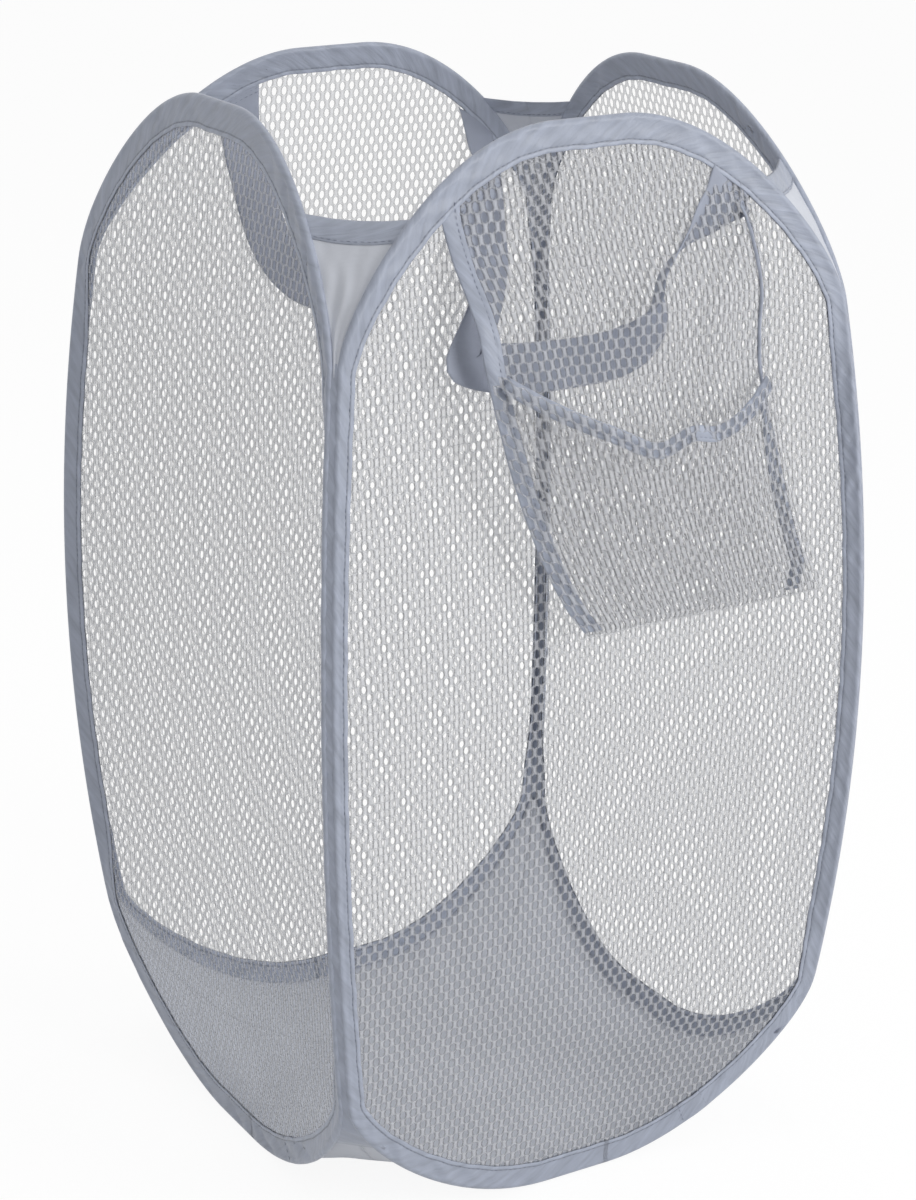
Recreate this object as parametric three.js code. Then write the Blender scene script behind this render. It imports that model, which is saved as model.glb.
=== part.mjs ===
// A pop up laundry hamper: four net panels, each stretched in a hoop of spring wire, with corner gussets,
// a cloth bottom, two carrying straps and a net pocket that hangs on the front panel.
// Millimetres, +Z up. The origin is on the floor, under the middle of the box that holds the hamper with its
// pocket, and the pocket faces -Y.
import * as THREE from "three";

// Driving sizes of the whole hamper
const hamperHeight = 600;
const halfSpread = 167.7; // from the middle of the hamper to a panel, at its widest height
const waistHeight = 290; // where the panels stand furthest out
const bowDepth = 12.4; // how far a panel has drawn in, bowSpan above or below the waist
const bowSpan = 200;
const joinLow = 90; // neighbouring hoops are sewn together from here
const joinHigh = 490; // up to here
const gap = 0.3; // between pieces that touch
const quarterTurn = Math.PI / 2;

// Hoop wire, its crimp and the sleeve of tape folded round it
const wireRadius = 0.7;
const wireEndGap = 1;
const crimpPlay = 0.25;
const crimpWall = 0.2;
const crimpLength = 20;
const crimpSides = 8;
const wireSides = 6;
const channelPlay = 0.1;
const foldThickness = 1.05;
const hemThickness = 0.7;
const archSleeve = 11; // the sleeve's reach from the wire, where the hoop is free
const sideSleeve = 8; // and where it is sewn to its neighbour
const flatHalf = 20; // half of the straight stretch at the top and at the bottom of a hoop
const shoulderShare = 0.25;
const crownShare = 0.58;
const lowArchSteps = 6;
const sideSteps = 6;
const highArchSteps = 8;

// Nets
const netThickness = 0.6;
const netPlay = 0.5;
const netInset = 3; // from the wire to the net's edge, inside the sleeve
const netStrips = 9;
const netPitch = 38;
const netOpenShare = 0.88; // of each cell of the net
const netMargin = 9; // least width of net between a gap and the edge

// Corner gussets and the tape that binds their upper edge
const gussetTop = 551;
const gussetTip = 505;
const gussetSag = 6;
const clothThickness = 0.8;
const bandDrop = 8;
const tapeThickness = 0.7;
const gussetRows = 4;
const gussetColumns = 4;

// Bottom cloth
const floorDivisions = 12;
const floorPlay = 0.3;
const floorCornerShare = 0.93; // how far the cloth runs into each corner

// Carrying straps
const strapWidth = 25;
const strapThickness = 1.2;
const strapSteps = 30;
const frontHinge = 552; // the front strap and the pocket swing about this height
const frontStrapLeft = -63;
const frontStrapRight = 80;
const frontStrapDrop = 68;
const frontStrapBulge = 9;
const strapTurn = 0.75; // radians that the slack strap turns on edge, at most
const backHinge = 544;
const backStrapLeft = -66;
const backStrapRight = 88;
const backStrapDrop = 94;
const stubColumns = 3;

// Pocket
const pocketFloor = 343;
const pocketTopLeft = -84;
const pocketTopRight = 87;
const pocketLowLeft = -22;
const pocketLowRight = 121;
const sweepPower = 2.2;
const pocketOut = 3.5; // from the panel's net to the pocket's back net, at the hinge
const pocketStandOff = 21.5; // how much further out the strap behind it pushes the net
const standOffDrop = 48;
const tuckIn = 12; // how far the net falls back towards its floor
const tuckDrop = 86; // from the hinge down to where it starts to
const pocketDepth = 24;
const mouthLeft = 480;
const mouthRight = 462;
const mouthSag = 28;
const pocketPlay = 0.8; // between the layers of the pocket
const bindingWidth = 8;
const bindingThickness = 2.4;
const bindingPlay = 1.2; // between the front net and the binding of its mouth
const frontLap = 2; // of the front net past the middle of a side binding
const yokeLap = 4; // of the yoke over the hem of the sleeve
const bindingSteps = 12;
const pocketNet = { thickness: 0.8, strips: 8, pitchShare: 0.15, reachShare: 0.8, edgeSteps: 1 };
const pocketFrontNet = { thickness: 0.8, strips: 6, pitchShare: 0.13, reachShare: 0.8, edgeSteps: 8 };
const yokeNet = { thickness: 0.8, strips: 2, pitchShare: 0.125, reachShare: 0.5, edgeSteps: 8 };

// Sizes that follow from those above
const crimpRadius = wireRadius + crimpPlay + crimpWall;
const channelHalf = crimpRadius + channelPlay;
const tubeHalf = channelHalf + foldThickness;
const tubeShoulder = channelHalf;
const tubeCrown = wireRadius / 2;
const slotHalf = netThickness / 2 + netPlay;
const hemHalf = slotHalf + hemThickness;
const cornerInset = tubeHalf + tubeShoulder + gap;
const tubeCorner = Math.hypot(tubeHalf, tubeShoulder) + gap;
const wireLow = tubeHalf;
const wireHigh = hamperHeight - tubeHalf;
const strapOut = netThickness / 2 + gap + strapThickness / 2;

// Bodies from points and triangles

function bodyFrom(points, triangles) {
  const volume = triangles.reduce(
    (sum, [a, b, c]) => sum + points[a].dot(points[b].clone().cross(points[c])),
    0,
  );
  const order = volume < 0 ? triangles.map(([a, b, c]) => [a, c, b]) : triangles;
  const geometry = new THREE.BufferGeometry().setFromPoints(points);
  geometry.setIndex(order.flat());
  geometry.computeVertexNormals();
  return geometry;
}

// A sheet with two faces: place(p, q, side) gives the point of a face, side being -1 or 1.
function sheetBody(plan, place) {
  const count = plan.points.length;
  const points = [1, -1].flatMap((side) => plan.points.map(([p, q]) => place(p, q, side)));
  const triangles = [];
  const edges = new Map();
  for (const [a, b, c] of plan.triangles) {
    triangles.push([a, b, c], [a + count, c + count, b + count]);
    for (const [from, to] of [[a, b], [b, c], [c, a]]) {
      if (!edges.delete(to + "," + from)) edges.set(from + "," + to, [from, to]);
    }
  }
  for (const [from, to] of edges.values()) {
    triangles.push([to, from, from + count], [to, from + count, to + count]);
  }
  return bodyFrom(points, triangles);
}

// A unit square in columns and rows.
function gridPlan(columns, rows) {
  const points = [];
  const triangles = [];
  for (let row = 0; row <= rows; row++) {
    for (let column = 0; column <= columns; column++) {
      points.push([column / columns, row / rows]);
      if (row && column) {
        const corner = points.length - 1;
        const below = corner - columns - 1;
        triangles.push([corner, corner - 1, below - 1], [corner, below - 1, below]);
      }
    }
  }
  return { points, triangles };
}

// A net in strips, with staggered four-sided gaps whose widest points lie on the lines between the strips.
// Its first and last lines are cut into edgeSteps, so that they can follow a curve. The strips are cut into
// triangles where spread(p, q) puts them.
function netPlan({ lines, widthAt, bends, pitch, halfGap, reach, margin, edgeSteps, spread }) {
  const points = [];
  const triangles = [];
  const add = (p, q) => points.push([p, q]) - 1;
  const fits = (middle, line) =>
    [-reach, -reach / 2, 0, reach / 2, reach].every(
      (rise) => Math.abs(middle) + halfGap * (1 - Math.abs(rise / reach)) + margin <= widthAt(line + rise),
    );
  const rungs = lines.map((line, index) => {
    const width = widthAt(line);
    const rung = { line, left: add(-width, line), right: add(width, line), above: [], below: [] };
    if (index === 0 || index === lines.length - 1) {
      for (let step = 1; step < edgeSteps; step++) {
        rung.above.push(add(between(-width, width, step / edgeSteps), line));
      }
      rung.below = rung.above;
      return rung;
    }
    const count = Math.ceil(width / pitch);
    for (let k = -count - 1; k <= count; k++) {
      const middle = (k + (index % 2 ? 1 / 2 : 1)) * pitch;
      if (fits(middle, line)) {
        const left = add(middle - halfGap, line);
        const right = add(middle + halfGap, line);
        rung.above.push(left, add(middle, line + reach), right);
        rung.below.push(left, add(middle, line - reach), right);
      }
    }
    return rung;
  });
  for (let index = 1; index < rungs.length; index++) {
    const [low, high] = [rungs[index - 1], rungs[index]];
    const inside = bends.filter((height) => height > low.line && height < high.line);
    const rightSide = inside.map((height) => add(widthAt(height), height));
    const leftSide = inside.map((height) => add(-widthAt(height), height));
    const ring = [low.left, ...low.above, low.right, ...rightSide];
    ring.push(high.right, ...[...high.below].reverse(), high.left, ...leftSide.reverse());
    const outline = ring.map((vertex) => new THREE.Vector2(...spread(...points[vertex])));
    for (const triangle of THREE.ShapeUtils.triangulateShape(outline, [])) {
      triangles.push(triangle.map((vertex) => ring[vertex]));
    }
  }
  return { points, triangles };
}

// An outline of [a, b] pairs carried through frames, each of which turns a pair into a point. The two halves of
// a mirrored outline are cut into the same triangles, so that the faces of a thin, twisted strip don't cross.
function sweepBody(outline, frames, closed) {
  const size = outline.length;
  const points = frames.flatMap((frame) => outline.map(([a, b]) => frame(a, b)));
  const triangles = [];
  const last = closed ? frames.length : frames.length - 1;
  for (let step = 0; step < last; step++) {
    const near = step * size;
    const far = ((step + 1) % frames.length) * size;
    for (let side = 0; side < size; side++) {
      const next = (side + 1) % size;
      if (side < size / 2) {
        triangles.push([near + side, near + next, far + next], [near + side, far + next, far + side]);
      } else {
        triangles.push([near + side, near + next, far + side], [near + next, far + next, far + side]);
      }
    }
  }
  if (!closed) {
    const flat = outline.map(([a, b]) => new THREE.Vector2(a, b));
    const end = (frames.length - 1) * size;
    for (const [a, b, c] of THREE.ShapeUtils.triangulateShape(flat, [])) {
      const turned = THREE.ShapeUtils.area(flat) > 0;
      triangles.push(turned ? [a, c, b] : [a, b, c]);
      triangles.push(turned ? [end + a, end + b, end + c] : [end + a, end + c, end + b]);
    }
  }
  return bodyFrom(points, triangles);
}

const mirrored = (outline) => [
  ...outline,
  ...[...outline].reverse().map(([a, b]) => [a, -b]),
];

const between = (from, to, share) => from + (to - from) * share;

function interpolate(table, key, value, at) {
  const next = table.findIndex((entry) => entry[key] >= at);
  if (next < 0) return table[table.length - 1][value];
  if (next === 0) return table[0][value];
  const [low, high] = [table[next - 1], table[next]];
  return between(low[value], high[value], (at - low[key]) / (high[key] - low[key]));
}

// The bowed panel: panel places are across, out and height, the front panel's in the part's own frame

const sheetDistance = (height) =>
  halfSpread - bowDepth * ((height - waistHeight) / bowSpan) ** 2;

const onPanel = (across, out, height) =>
  new THREE.Vector3(across, -(sheetDistance(height) + out), height);

const sideHalf = (height) => sheetDistance(height) - cornerInset;

// Half of a hoop's wire line, from the straight stretch on the floor up to the one at the top.
function archStations(join, end, steps) {
  const corner = new THREE.Vector2(sideHalf(join), join);
  const lean = (-2 * bowDepth * (join - waistHeight)) / bowSpan ** 2;
  const along = new THREE.Vector2(lean, 1).normalize().multiplyScalar(shoulderShare * (end - join));
  const curve = new THREE.CubicBezierCurve(
    corner,
    corner.clone().add(along),
    new THREE.Vector2(crownShare * corner.x, end),
    new THREE.Vector2(flatHalf, end),
  );
  return Array.from({ length: steps + 1 }, (_, step) => {
    const point = curve.getPoint(step / steps);
    const tangent = curve.getTangent(step / steps);
    const upward = end > join ? tangent : tangent.negate();
    return { across: point.x, height: point.y, inAcross: -upward.y, inHeight: upward.x };
  });
}

function sideStations() {
  return Array.from({ length: sideSteps - 1 }, (_, index) => {
    const height = between(joinLow, joinHigh, (index + 1) / sideSteps);
    const lean = (-2 * bowDepth * (height - waistHeight)) / bowSpan ** 2;
    const length = Math.hypot(lean, 1);
    return { across: sideHalf(height), height, inAcross: -1 / length, inHeight: lean / length };
  });
}

const lowArch = archStations(joinLow, wireLow, lowArchSteps).reverse();
const highArch = archStations(joinHigh, wireHigh, highArchSteps);
const halfHoop = [...lowArch, ...sideStations(), ...highArch];
const mirrorStation = ({ across, inAcross, ...rest }) => ({ across: -across, inAcross: -inAcross, ...rest });
const wholeHoop = [...halfHoop, ...[...halfHoop].reverse().map(mirrorStation)];

const archHalf = (height) => interpolate(halfHoop, "height", "across", height);

// Half of the hoop's line, drawn in from the wire.
const drawnIn = (inset) =>
  halfHoop.map(({ across, height, inAcross, inHeight }) => ({
    across: across + inset * inAcross,
    height: height + inset * inHeight,
  }));

const sleeveReach = (across) =>
  between(archSleeve, sideSleeve, (across / sideHalf(waistHeight)) ** 2);

const stationFrame = ({ across, height, inAcross, inHeight }) => (inward, out) =>
  onPanel(across + inward * inAcross, out, height + inward * inHeight);

function wireBody() {
  const end = (side) => ({ across: (side * wireEndGap) / 2, height: wireLow, inAcross: 0, inHeight: 1 });
  const outline = Array.from({ length: wireSides }, (_, index) => {
    const angle = (index * 4 * quarterTurn) / wireSides;
    return [wireRadius * Math.cos(angle), wireRadius * Math.sin(angle)];
  });
  return sweepBody(outline, [end(1), ...wholeHoop, end(-1)].map(stationFrame), false);
}

function crimpBody() {
  const bore = wireRadius + crimpPlay;
  const half = crimpLength / 2;
  const profile = [[bore, -half], [crimpRadius, -half], [crimpRadius, half], [bore, half], [bore, -half]];
  const geometry = new THREE.LatheGeometry(
    profile.map(([radius, place]) => new THREE.Vector2(radius, place)),
    crimpSides,
  );
  geometry.rotateZ(-quarterTurn);
  geometry.translate(0, -sheetDistance(wireLow), wireLow);
  return geometry;
}

// The tape is open towards the panel, where its two hems take the edge of the net.
function sleeveBody() {
  const frames = wholeHoop.map((station) => {
    const reach = sleeveReach(station.across);
    const place = stationFrame(station);
    return (inward, out) => place(Math.min(inward, reach), out);
  });
  const outline = mirrored([
    [archSleeve, hemHalf],
    [tubeCrown, tubeHalf],
    [-tubeHalf, tubeShoulder],
  ]);
  const channel = mirrored([
    [archSleeve, slotHalf],
    [channelHalf, channelHalf],
    [-channelHalf, channelHalf],
  ]).reverse();
  return sweepBody([...outline, ...channel], frames, true);
}

function panelNetBody() {
  const edge = drawnIn(netInset);
  const low = edge[0].height;
  const high = edge[edge.length - 1].height;
  const lines = Array.from({ length: netStrips + 1 }, (_, index) => between(low, high, index / netStrips));
  const stripHeight = (high - low) / netStrips;
  const plan = netPlan({
    lines,
    widthAt: (height) => (height < low || height > high ? 0 : interpolate(edge, "height", "across", height)),
    bends: edge.map(({ height }) => height),
    pitch: netPitch,
    halfGap: (netOpenShare * netPitch) / 2,
    reach: netOpenShare * stripHeight,
    margin: netMargin,
    edgeSteps: 1,
    spread: (across, height) => [across, height],
  });
  return sheetBody(plan, (across, height, side) => onPanel(across, (side * netThickness) / 2, height));
}

// Corner gusset between the arches of the front and the right hoop, and its binding

const outwards = new THREE.Vector3(1, -1, 0).normalize();
const alongside = new THREE.Vector3(1, 1, 0).normalize();

function gussetPoint(across, height, sagShare) {
  const width = Math.SQRT2 * (sheetDistance(height) - archHalf(height)) - 2 * tubeCorner;
  const middle = 1 - (2 * across - 1) ** 2;
  const fallen = height - sagShare * gussetSag * middle;
  const reach = (sheetDistance(fallen) + archHalf(fallen)) / Math.SQRT2;
  return new THREE.Vector3(0, 0, fallen)
    .addScaledVector(outwards, reach)
    .addScaledVector(alongside, (across - 1 / 2) * width);
}

const bandLow = gussetTop - bandDrop;

function gussetBody() {
  const rowHeight = (share) => {
    const row = share * (gussetRows + 1);
    return row > gussetRows ? gussetTop : between(gussetTip, bandLow, row / gussetRows);
  };
  return sheetBody(gridPlan(gussetColumns, gussetRows + 1), (across, share, side) => {
    const height = rowHeight(share);
    const sagShare = Math.min(1, (height - gussetTip) / (bandLow - gussetTip));
    return gussetPoint(across, height, sagShare).addScaledVector(outwards, (side * clothThickness) / 2);
  });
}

function gussetBandBody() {
  const inner = clothThickness / 2 + gap;
  const outer = inner + tapeThickness;
  const frames = Array.from({ length: gussetColumns + 1 }, (_, column) => {
    const across = column / gussetColumns;
    const top = gussetPoint(across, gussetTop, 1);
    const low = gussetPoint(across, bandLow, 1);
    const up = top.clone().sub(low).normalize();
    const face = up.clone().cross(alongside).normalize();
    return (rise, out) => low.clone().lerp(top, rise / bandDrop).addScaledVector(face, out);
  });
  const outline = mirrored([[0, outer], [bandDrop + gap + tapeThickness, outer]]);
  const slot = mirrored([[0, inner], [bandDrop + gap, inner]]).reverse();
  return sweepBody([...outline, ...slot], frames, false);
}

// Bottom cloth: a square sheet whose edges follow the low arches and whose corners rise between them

function floorHeight(share) {
  const table = lowArch.map(({ across, height }) => ({ share: across / sheetDistance(height), height }));
  return interpolate(table, "share", "height", share);
}

function bottomBody() {
  const inset = tubeHalf + floorPlay;
  return sheetBody(gridPlan(floorDivisions, floorDivisions), (columnShare, rowShare, side) => {
    const row = 2 * rowShare - 1;
    const cut = 1 + floorCornerShare - Math.max(floorCornerShare, Math.abs(row));
    const column = (2 * columnShare - 1) * cut;
    const height = floorHeight(Math.abs(row * column));
    const reach = sheetDistance(height) - inset;
    return new THREE.Vector3(column * reach, row * reach, height + (side * clothThickness) / 2);
  });
}

// Straps

const hemEdge = drawnIn(archSleeve + gap).slice(lowArch.length + sideSteps - 1);

function hemEdgeHeight(across) {
  const falling = hemEdge.map((entry) => ({ reach: -entry.across, height: entry.height }));
  return interpolate(falling, "reach", "height", -Math.abs(across));
}

// A slack loop through [across, out, height, turn] places, the last being how far it turns on edge.
function strapBody(places) {
  const path = new THREE.CatmullRomCurve3(
    places.map(([across, out, height]) => new THREE.Vector3(across, out, height)),
    false,
    "centripetal",
  );
  const turns = new THREE.CatmullRomCurve3(places.map((place) => new THREE.Vector3(place[3], 0, 0)));
  const outDirection = new THREE.Vector3(0, 1, 0);
  const frames = Array.from({ length: strapSteps + 1 }, (_, step) => {
    const share = step / strapSteps;
    const middle = path.getPoint(share);
    const onEnd = step === 0 || step === strapSteps;
    const run = path.getTangent(share).setY(0).normalize();
    if (onEnd) run.set(0, 0, step === 0 ? -1 : 1);
    const flat = outDirection.clone().cross(run).normalize();
    const turn = onEnd ? 0 : turns.getPoint(share).x;
    const wide = flat.clone().multiplyScalar(Math.cos(turn)).addScaledVector(outDirection, Math.sin(turn));
    const thick = run.clone().cross(wide).normalize();
    return (a, b) => {
      const point = middle.clone().addScaledVector(wide, a).addScaledVector(thick, b);
      return onPanel(point.x, point.y, point.z);
    };
  });
  const outline = mirrored([[-strapWidth / 2, strapThickness / 2], [strapWidth / 2, strapThickness / 2]]);
  return sweepBody(outline, frames, false);
}

// Shares across between the strap's ends, of its drop, of its bulge and of its turn.
const frontStrapShares = [
  [0, 0, 0, 0],
  [0, 0.14, 0.05, 0],
  [0.01, 0.35, 0.5, 0.25],
  [0.04, 0.62, 0.85, 0.8],
  [0.11, 0.87, 0.9, 0.5],
  [0.25, 1, 0.5, 0],
  [0.42, 1, 0.5, 0],
  [0.56, 0.9, 0.7, 0.5],
  [0.63, 0.67, 0.95, 0.8],
  [0.72, 0.5, 0.6, 0.6],
  [0.86, 0.41, 0.45, 0.4],
  [0.97, 0.27, 0.15, 0.1],
  [1, 0.12, 0, 0],
  [1, 0, 0, 0],
];

function frontStrapBody() {
  return strapBody(
    frontStrapShares.map(([acrossShare, dropShare, bulgeShare, turnShare]) => [
      between(frontStrapLeft, frontStrapRight, acrossShare),
      strapOut + bulgeShare * frontStrapBulge,
      frontHinge - gap - dropShare * frontStrapDrop,
      turnShare * strapTurn,
    ]),
  );
}

// Shares across between the strap's ends and of its drop: it hangs free, inside the hamper.
const backStrapShares = [
  [0, 0],
  [0, 0.14],
  [0.02, 0.4],
  [0.07, 0.66],
  [0.2, 0.88],
  [0.42, 1],
  [0.66, 0.96],
  [0.87, 0.74],
  [0.97, 0.42],
  [1, 0.14],
  [1, 0],
];

function backStrapBody() {
  return strapBody(
    backStrapShares.map(([acrossShare, dropShare]) => {
      const height = backHinge - gap - dropShare * backStrapDrop;
      const fallen = sheetDistance(height) - sheetDistance(backHinge);
      return [-between(backStrapLeft, backStrapRight, acrossShare), -strapOut - fallen, height, 0];
    }),
  );
}

// The sewn end of a strap, between the sleeve's hem and the line that the strap swings about.
function strapEndBody(across, hinge, side) {
  return sheetBody(gridPlan(stubColumns, 1), (columnShare, rowShare, face) => {
    const place = across + (columnShare - 1 / 2) * strapWidth;
    const height = rowShare ? hemEdgeHeight(place) : hinge;
    return onPanel(place, side * strapOut + (face * strapThickness) / 2, height);
  });
}

// Pocket

const smooth = (share) => {
  const held = Math.min(1, Math.max(0, share));
  return held * held * (3 - 2 * held);
};

const pocketBack = (height) =>
  pocketOut +
  pocketStandOff * smooth((frontHinge - height) / standOffDrop) -
  tuckIn * smooth((frontHinge - tuckDrop - height) / (frontHinge - tuckDrop - pocketFloor));

const pocketSide = (top, low, height) =>
  between(top, low, (Math.max(0, frontHinge - height) / (frontHinge - pocketFloor)) ** sweepPower);

const pocketLeft = (height) => pocketSide(pocketTopLeft, pocketLowLeft, height);
const pocketRight = (height) => pocketSide(pocketTopRight, pocketLowRight, height);
const pocketTop = frontHinge - gap;
const bulgeAt = (share) => 1 - (2 * share - 1) ** 2;
const mouthHeight = (share) => between(mouthLeft, mouthRight, share) - mouthSag * bulgeAt(share);
const pocketFront = (acrossShare, riseShare, height) =>
  pocketBack(height) + pocketDepth * bulgeAt(acrossShare) * Math.sqrt(riseShare);

// A net over the unit square, made -1/2 to 1/2 wide. spread(p, q) gives a place across and its height.
function squareNetPlan({ strips, pitchShare, reachShare, edgeSteps }, spread) {
  return netPlan({
    lines: Array.from({ length: strips + 1 }, (_, index) => index / strips),
    widthAt: () => 1 / 2,
    bends: [],
    pitch: pitchShare,
    halfGap: (reachShare * pitchShare) / 2,
    reach: reachShare / strips,
    margin: pitchShare / 4,
    edgeSteps,
    spread,
  });
}

function pocketBackNetBody() {
  const inset = bindingWidth / 2 + gap;
  const spread = (across, rise) => {
    const height = between(pocketFloor, pocketTop, rise);
    return [between(pocketLeft(height) + inset, pocketRight(height) - inset, across + 1 / 2), height];
  };
  return sheetBody(squareNetPlan(pocketNet, spread), (across, rise, side) => {
    const [place, height] = spread(across, rise);
    return onPanel(place, pocketBack(height) + (side * pocketNet.thickness) / 2, height);
  });
}

function pocketFrontNetBody() {
  const lift = (bindingThickness + pocketFrontNet.thickness) / 2 + pocketPlay;
  const spread = (across, rise) => {
    const share = across + 1 / 2;
    const height = between(pocketFloor, mouthHeight(share), rise);
    return [between(pocketLeft(height) - frontLap, pocketRight(height) + frontLap, share), height];
  };
  return sheetBody(squareNetPlan(pocketFrontNet, spread), (across, rise, side) => {
    const [place, height] = spread(across, rise);
    const out = pocketFront(across + 1 / 2, rise, height) + lift + (side * pocketFrontNet.thickness) / 2;
    return onPanel(place, out, height);
  });
}

// The yoke's upper edge lies on the outer hem of the sleeve.
function pocketYokeBody() {
  const hemOut = between(hemHalf, tubeHalf, yokeLap / archSleeve);
  const yokeOut = hemOut + gap + yokeNet.thickness / 2;
  const spread = (across, rise) => {
    const place = between(pocketTopLeft, pocketTopRight, across + 1 / 2);
    return [place, between(frontHinge, hemEdgeHeight(place) + yokeLap, rise)];
  };
  return sheetBody(squareNetPlan(yokeNet, spread), (across, rise, side) => {
    const [place, height] = spread(across, rise);
    return onPanel(place, between(pocketOut, yokeOut, rise) + (side * yokeNet.thickness) / 2, height);
  });
}

const bindingOutline = mirrored([
  [-bindingWidth / 2, bindingThickness / 2],
  [bindingWidth / 2, bindingThickness / 2],
]);

function pocketBindingBody(sideAt) {
  const frames = Array.from({ length: bindingSteps + 1 }, (_, step) => {
    const height = between(pocketTop, pocketFloor, step / bindingSteps);
    return (a, b) => onPanel(sideAt(height) + a, pocketBack(height) + b, height);
  });
  return sweepBody(bindingOutline, frames, false);
}

function pocketMouthBody() {
  const frames = Array.from({ length: bindingSteps + 1 }, (_, step) => {
    const share = step / bindingSteps;
    const height = mouthHeight(share);
    const middle = height + bindingPlay + bindingWidth / 2;
    const place = between(pocketLeft(height), pocketRight(height), share);
    const out = pocketFront(share, 1, middle) + bindingThickness + pocketPlay;
    return (a, b) => onPanel(place, out + b, middle + a);
  });
  return sweepBody(bindingOutline, frames, false);
}

// Materials, one for each kind of stuff

const steel = () => new THREE.MeshStandardMaterial({ color: 0x9a9da0, roughness: 0.35, metalness: 1 });
const tape = () => new THREE.MeshStandardMaterial({ color: 0x98a2b6, roughness: 0.5, metalness: 0 });
const net = () => new THREE.MeshStandardMaterial({ color: 0xd4d5d8, roughness: 0.7, metalness: 0 });
const cloth = () => new THREE.MeshStandardMaterial({ color: 0xc6c9d1, roughness: 0.8, metalness: 0 });

// The hamper

const hamper = new THREE.Group();

function addPiece(name, geometry, material, turn = 0) {
  const piece = new THREE.Mesh(geometry, material());
  piece.name = name;
  piece.rotation.z = turn;
  hamper.add(piece);
}

function addPanel(side, turn) {
  addPiece(side + "_hoop_wire", wireBody(), steel, turn);
  addPiece(side + "_wire_crimp", crimpBody(), steel, turn);
  addPiece(side + "_sleeve", sleeveBody(), tape, turn);
  addPiece(side + "_net", panelNetBody(), net, turn);
}

function addCorner(corner, turn) {
  addPiece(corner + "_gusset", gussetBody(), cloth, turn);
  addPiece(corner + "_gusset_binding", gussetBandBody(), tape, turn);
}

function addStraps() {
  addPiece("front_handle_strap", frontStrapBody(), tape);
  addPiece("front_strap_end_left", strapEndBody(frontStrapLeft, frontHinge, 1), tape);
  addPiece("front_strap_end_right", strapEndBody(frontStrapRight, frontHinge, 1), tape);
  addPiece("back_handle_strap", backStrapBody(), tape, 2 * quarterTurn);
  addPiece("back_strap_end_left", strapEndBody(-backStrapLeft, backHinge, -1), tape, 2 * quarterTurn);
  addPiece("back_strap_end_right", strapEndBody(-backStrapRight, backHinge, -1), tape, 2 * quarterTurn);
}

function addPocket() {
  addPiece("pocket_yoke_net", pocketYokeBody(), net);
  addPiece("pocket_back_net", pocketBackNetBody(), net);
  addPiece("pocket_front_net", pocketFrontNetBody(), net);
  addPiece("pocket_binding_left", pocketBindingBody(pocketLeft), tape);
  addPiece("pocket_binding_right", pocketBindingBody(pocketRight), tape);
  addPiece("pocket_mouth_binding", pocketMouthBody(), tape);
}

const sides = ["front", "right", "back", "left"];
const corners = ["front_right", "back_right", "back_left", "front_left"];
sides.forEach((side, index) => addPanel(side, index * quarterTurn));
corners.forEach((corner, index) => addCorner(corner, index * quarterTurn));
addPiece("bottom_cloth", bottomBody(), cloth);
addStraps();
addPocket();

// The origin goes under the middle of the whole box, pocket included.
const centre = new THREE.Box3().setFromObject(hamper).getCenter(new THREE.Vector3());
hamper.position.set(-centre.x, -centre.y, 0);

export default hamper;
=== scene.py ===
"""A pop up laundry hamper: net panels in tape-covered wire hoops, with cloth corners, handles and a pocket.

Metres, +Z up. The pocket hangs on the front panel, which faces -Y.
"""

import math

import bmesh
import bpy
import numpy as np
from bpy.props import FloatProperty, FloatVectorProperty, PointerProperty
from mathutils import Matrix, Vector


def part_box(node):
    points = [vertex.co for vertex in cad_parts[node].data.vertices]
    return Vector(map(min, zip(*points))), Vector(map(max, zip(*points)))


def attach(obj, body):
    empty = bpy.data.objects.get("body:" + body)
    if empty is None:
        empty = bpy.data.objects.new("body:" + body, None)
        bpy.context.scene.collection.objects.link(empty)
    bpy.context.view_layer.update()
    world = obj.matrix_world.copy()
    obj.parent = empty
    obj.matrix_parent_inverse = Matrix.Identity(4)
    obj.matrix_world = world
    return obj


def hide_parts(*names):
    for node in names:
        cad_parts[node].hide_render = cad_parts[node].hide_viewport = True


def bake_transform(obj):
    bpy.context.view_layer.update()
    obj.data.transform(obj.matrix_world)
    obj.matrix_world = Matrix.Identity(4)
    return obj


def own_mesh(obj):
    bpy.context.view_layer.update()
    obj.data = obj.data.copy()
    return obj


bl_info = {
    "name": "Pop up laundry hamper",
    "version": (1, 0, 0),
    "blender": (4, 5, 0),
    "location": "3D View > Sidebar > Hamper",
    "description": "Builds the cloth, nets, tapes and handles of a pop up laundry hamper",
    "category": "Add Mesh",
}

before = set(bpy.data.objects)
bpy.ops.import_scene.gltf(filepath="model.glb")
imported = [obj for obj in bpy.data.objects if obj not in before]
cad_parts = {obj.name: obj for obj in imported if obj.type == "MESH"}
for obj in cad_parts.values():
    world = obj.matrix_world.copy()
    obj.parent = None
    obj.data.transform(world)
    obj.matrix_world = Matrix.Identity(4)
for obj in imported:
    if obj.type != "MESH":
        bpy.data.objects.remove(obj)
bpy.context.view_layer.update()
MM = 0.001

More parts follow.
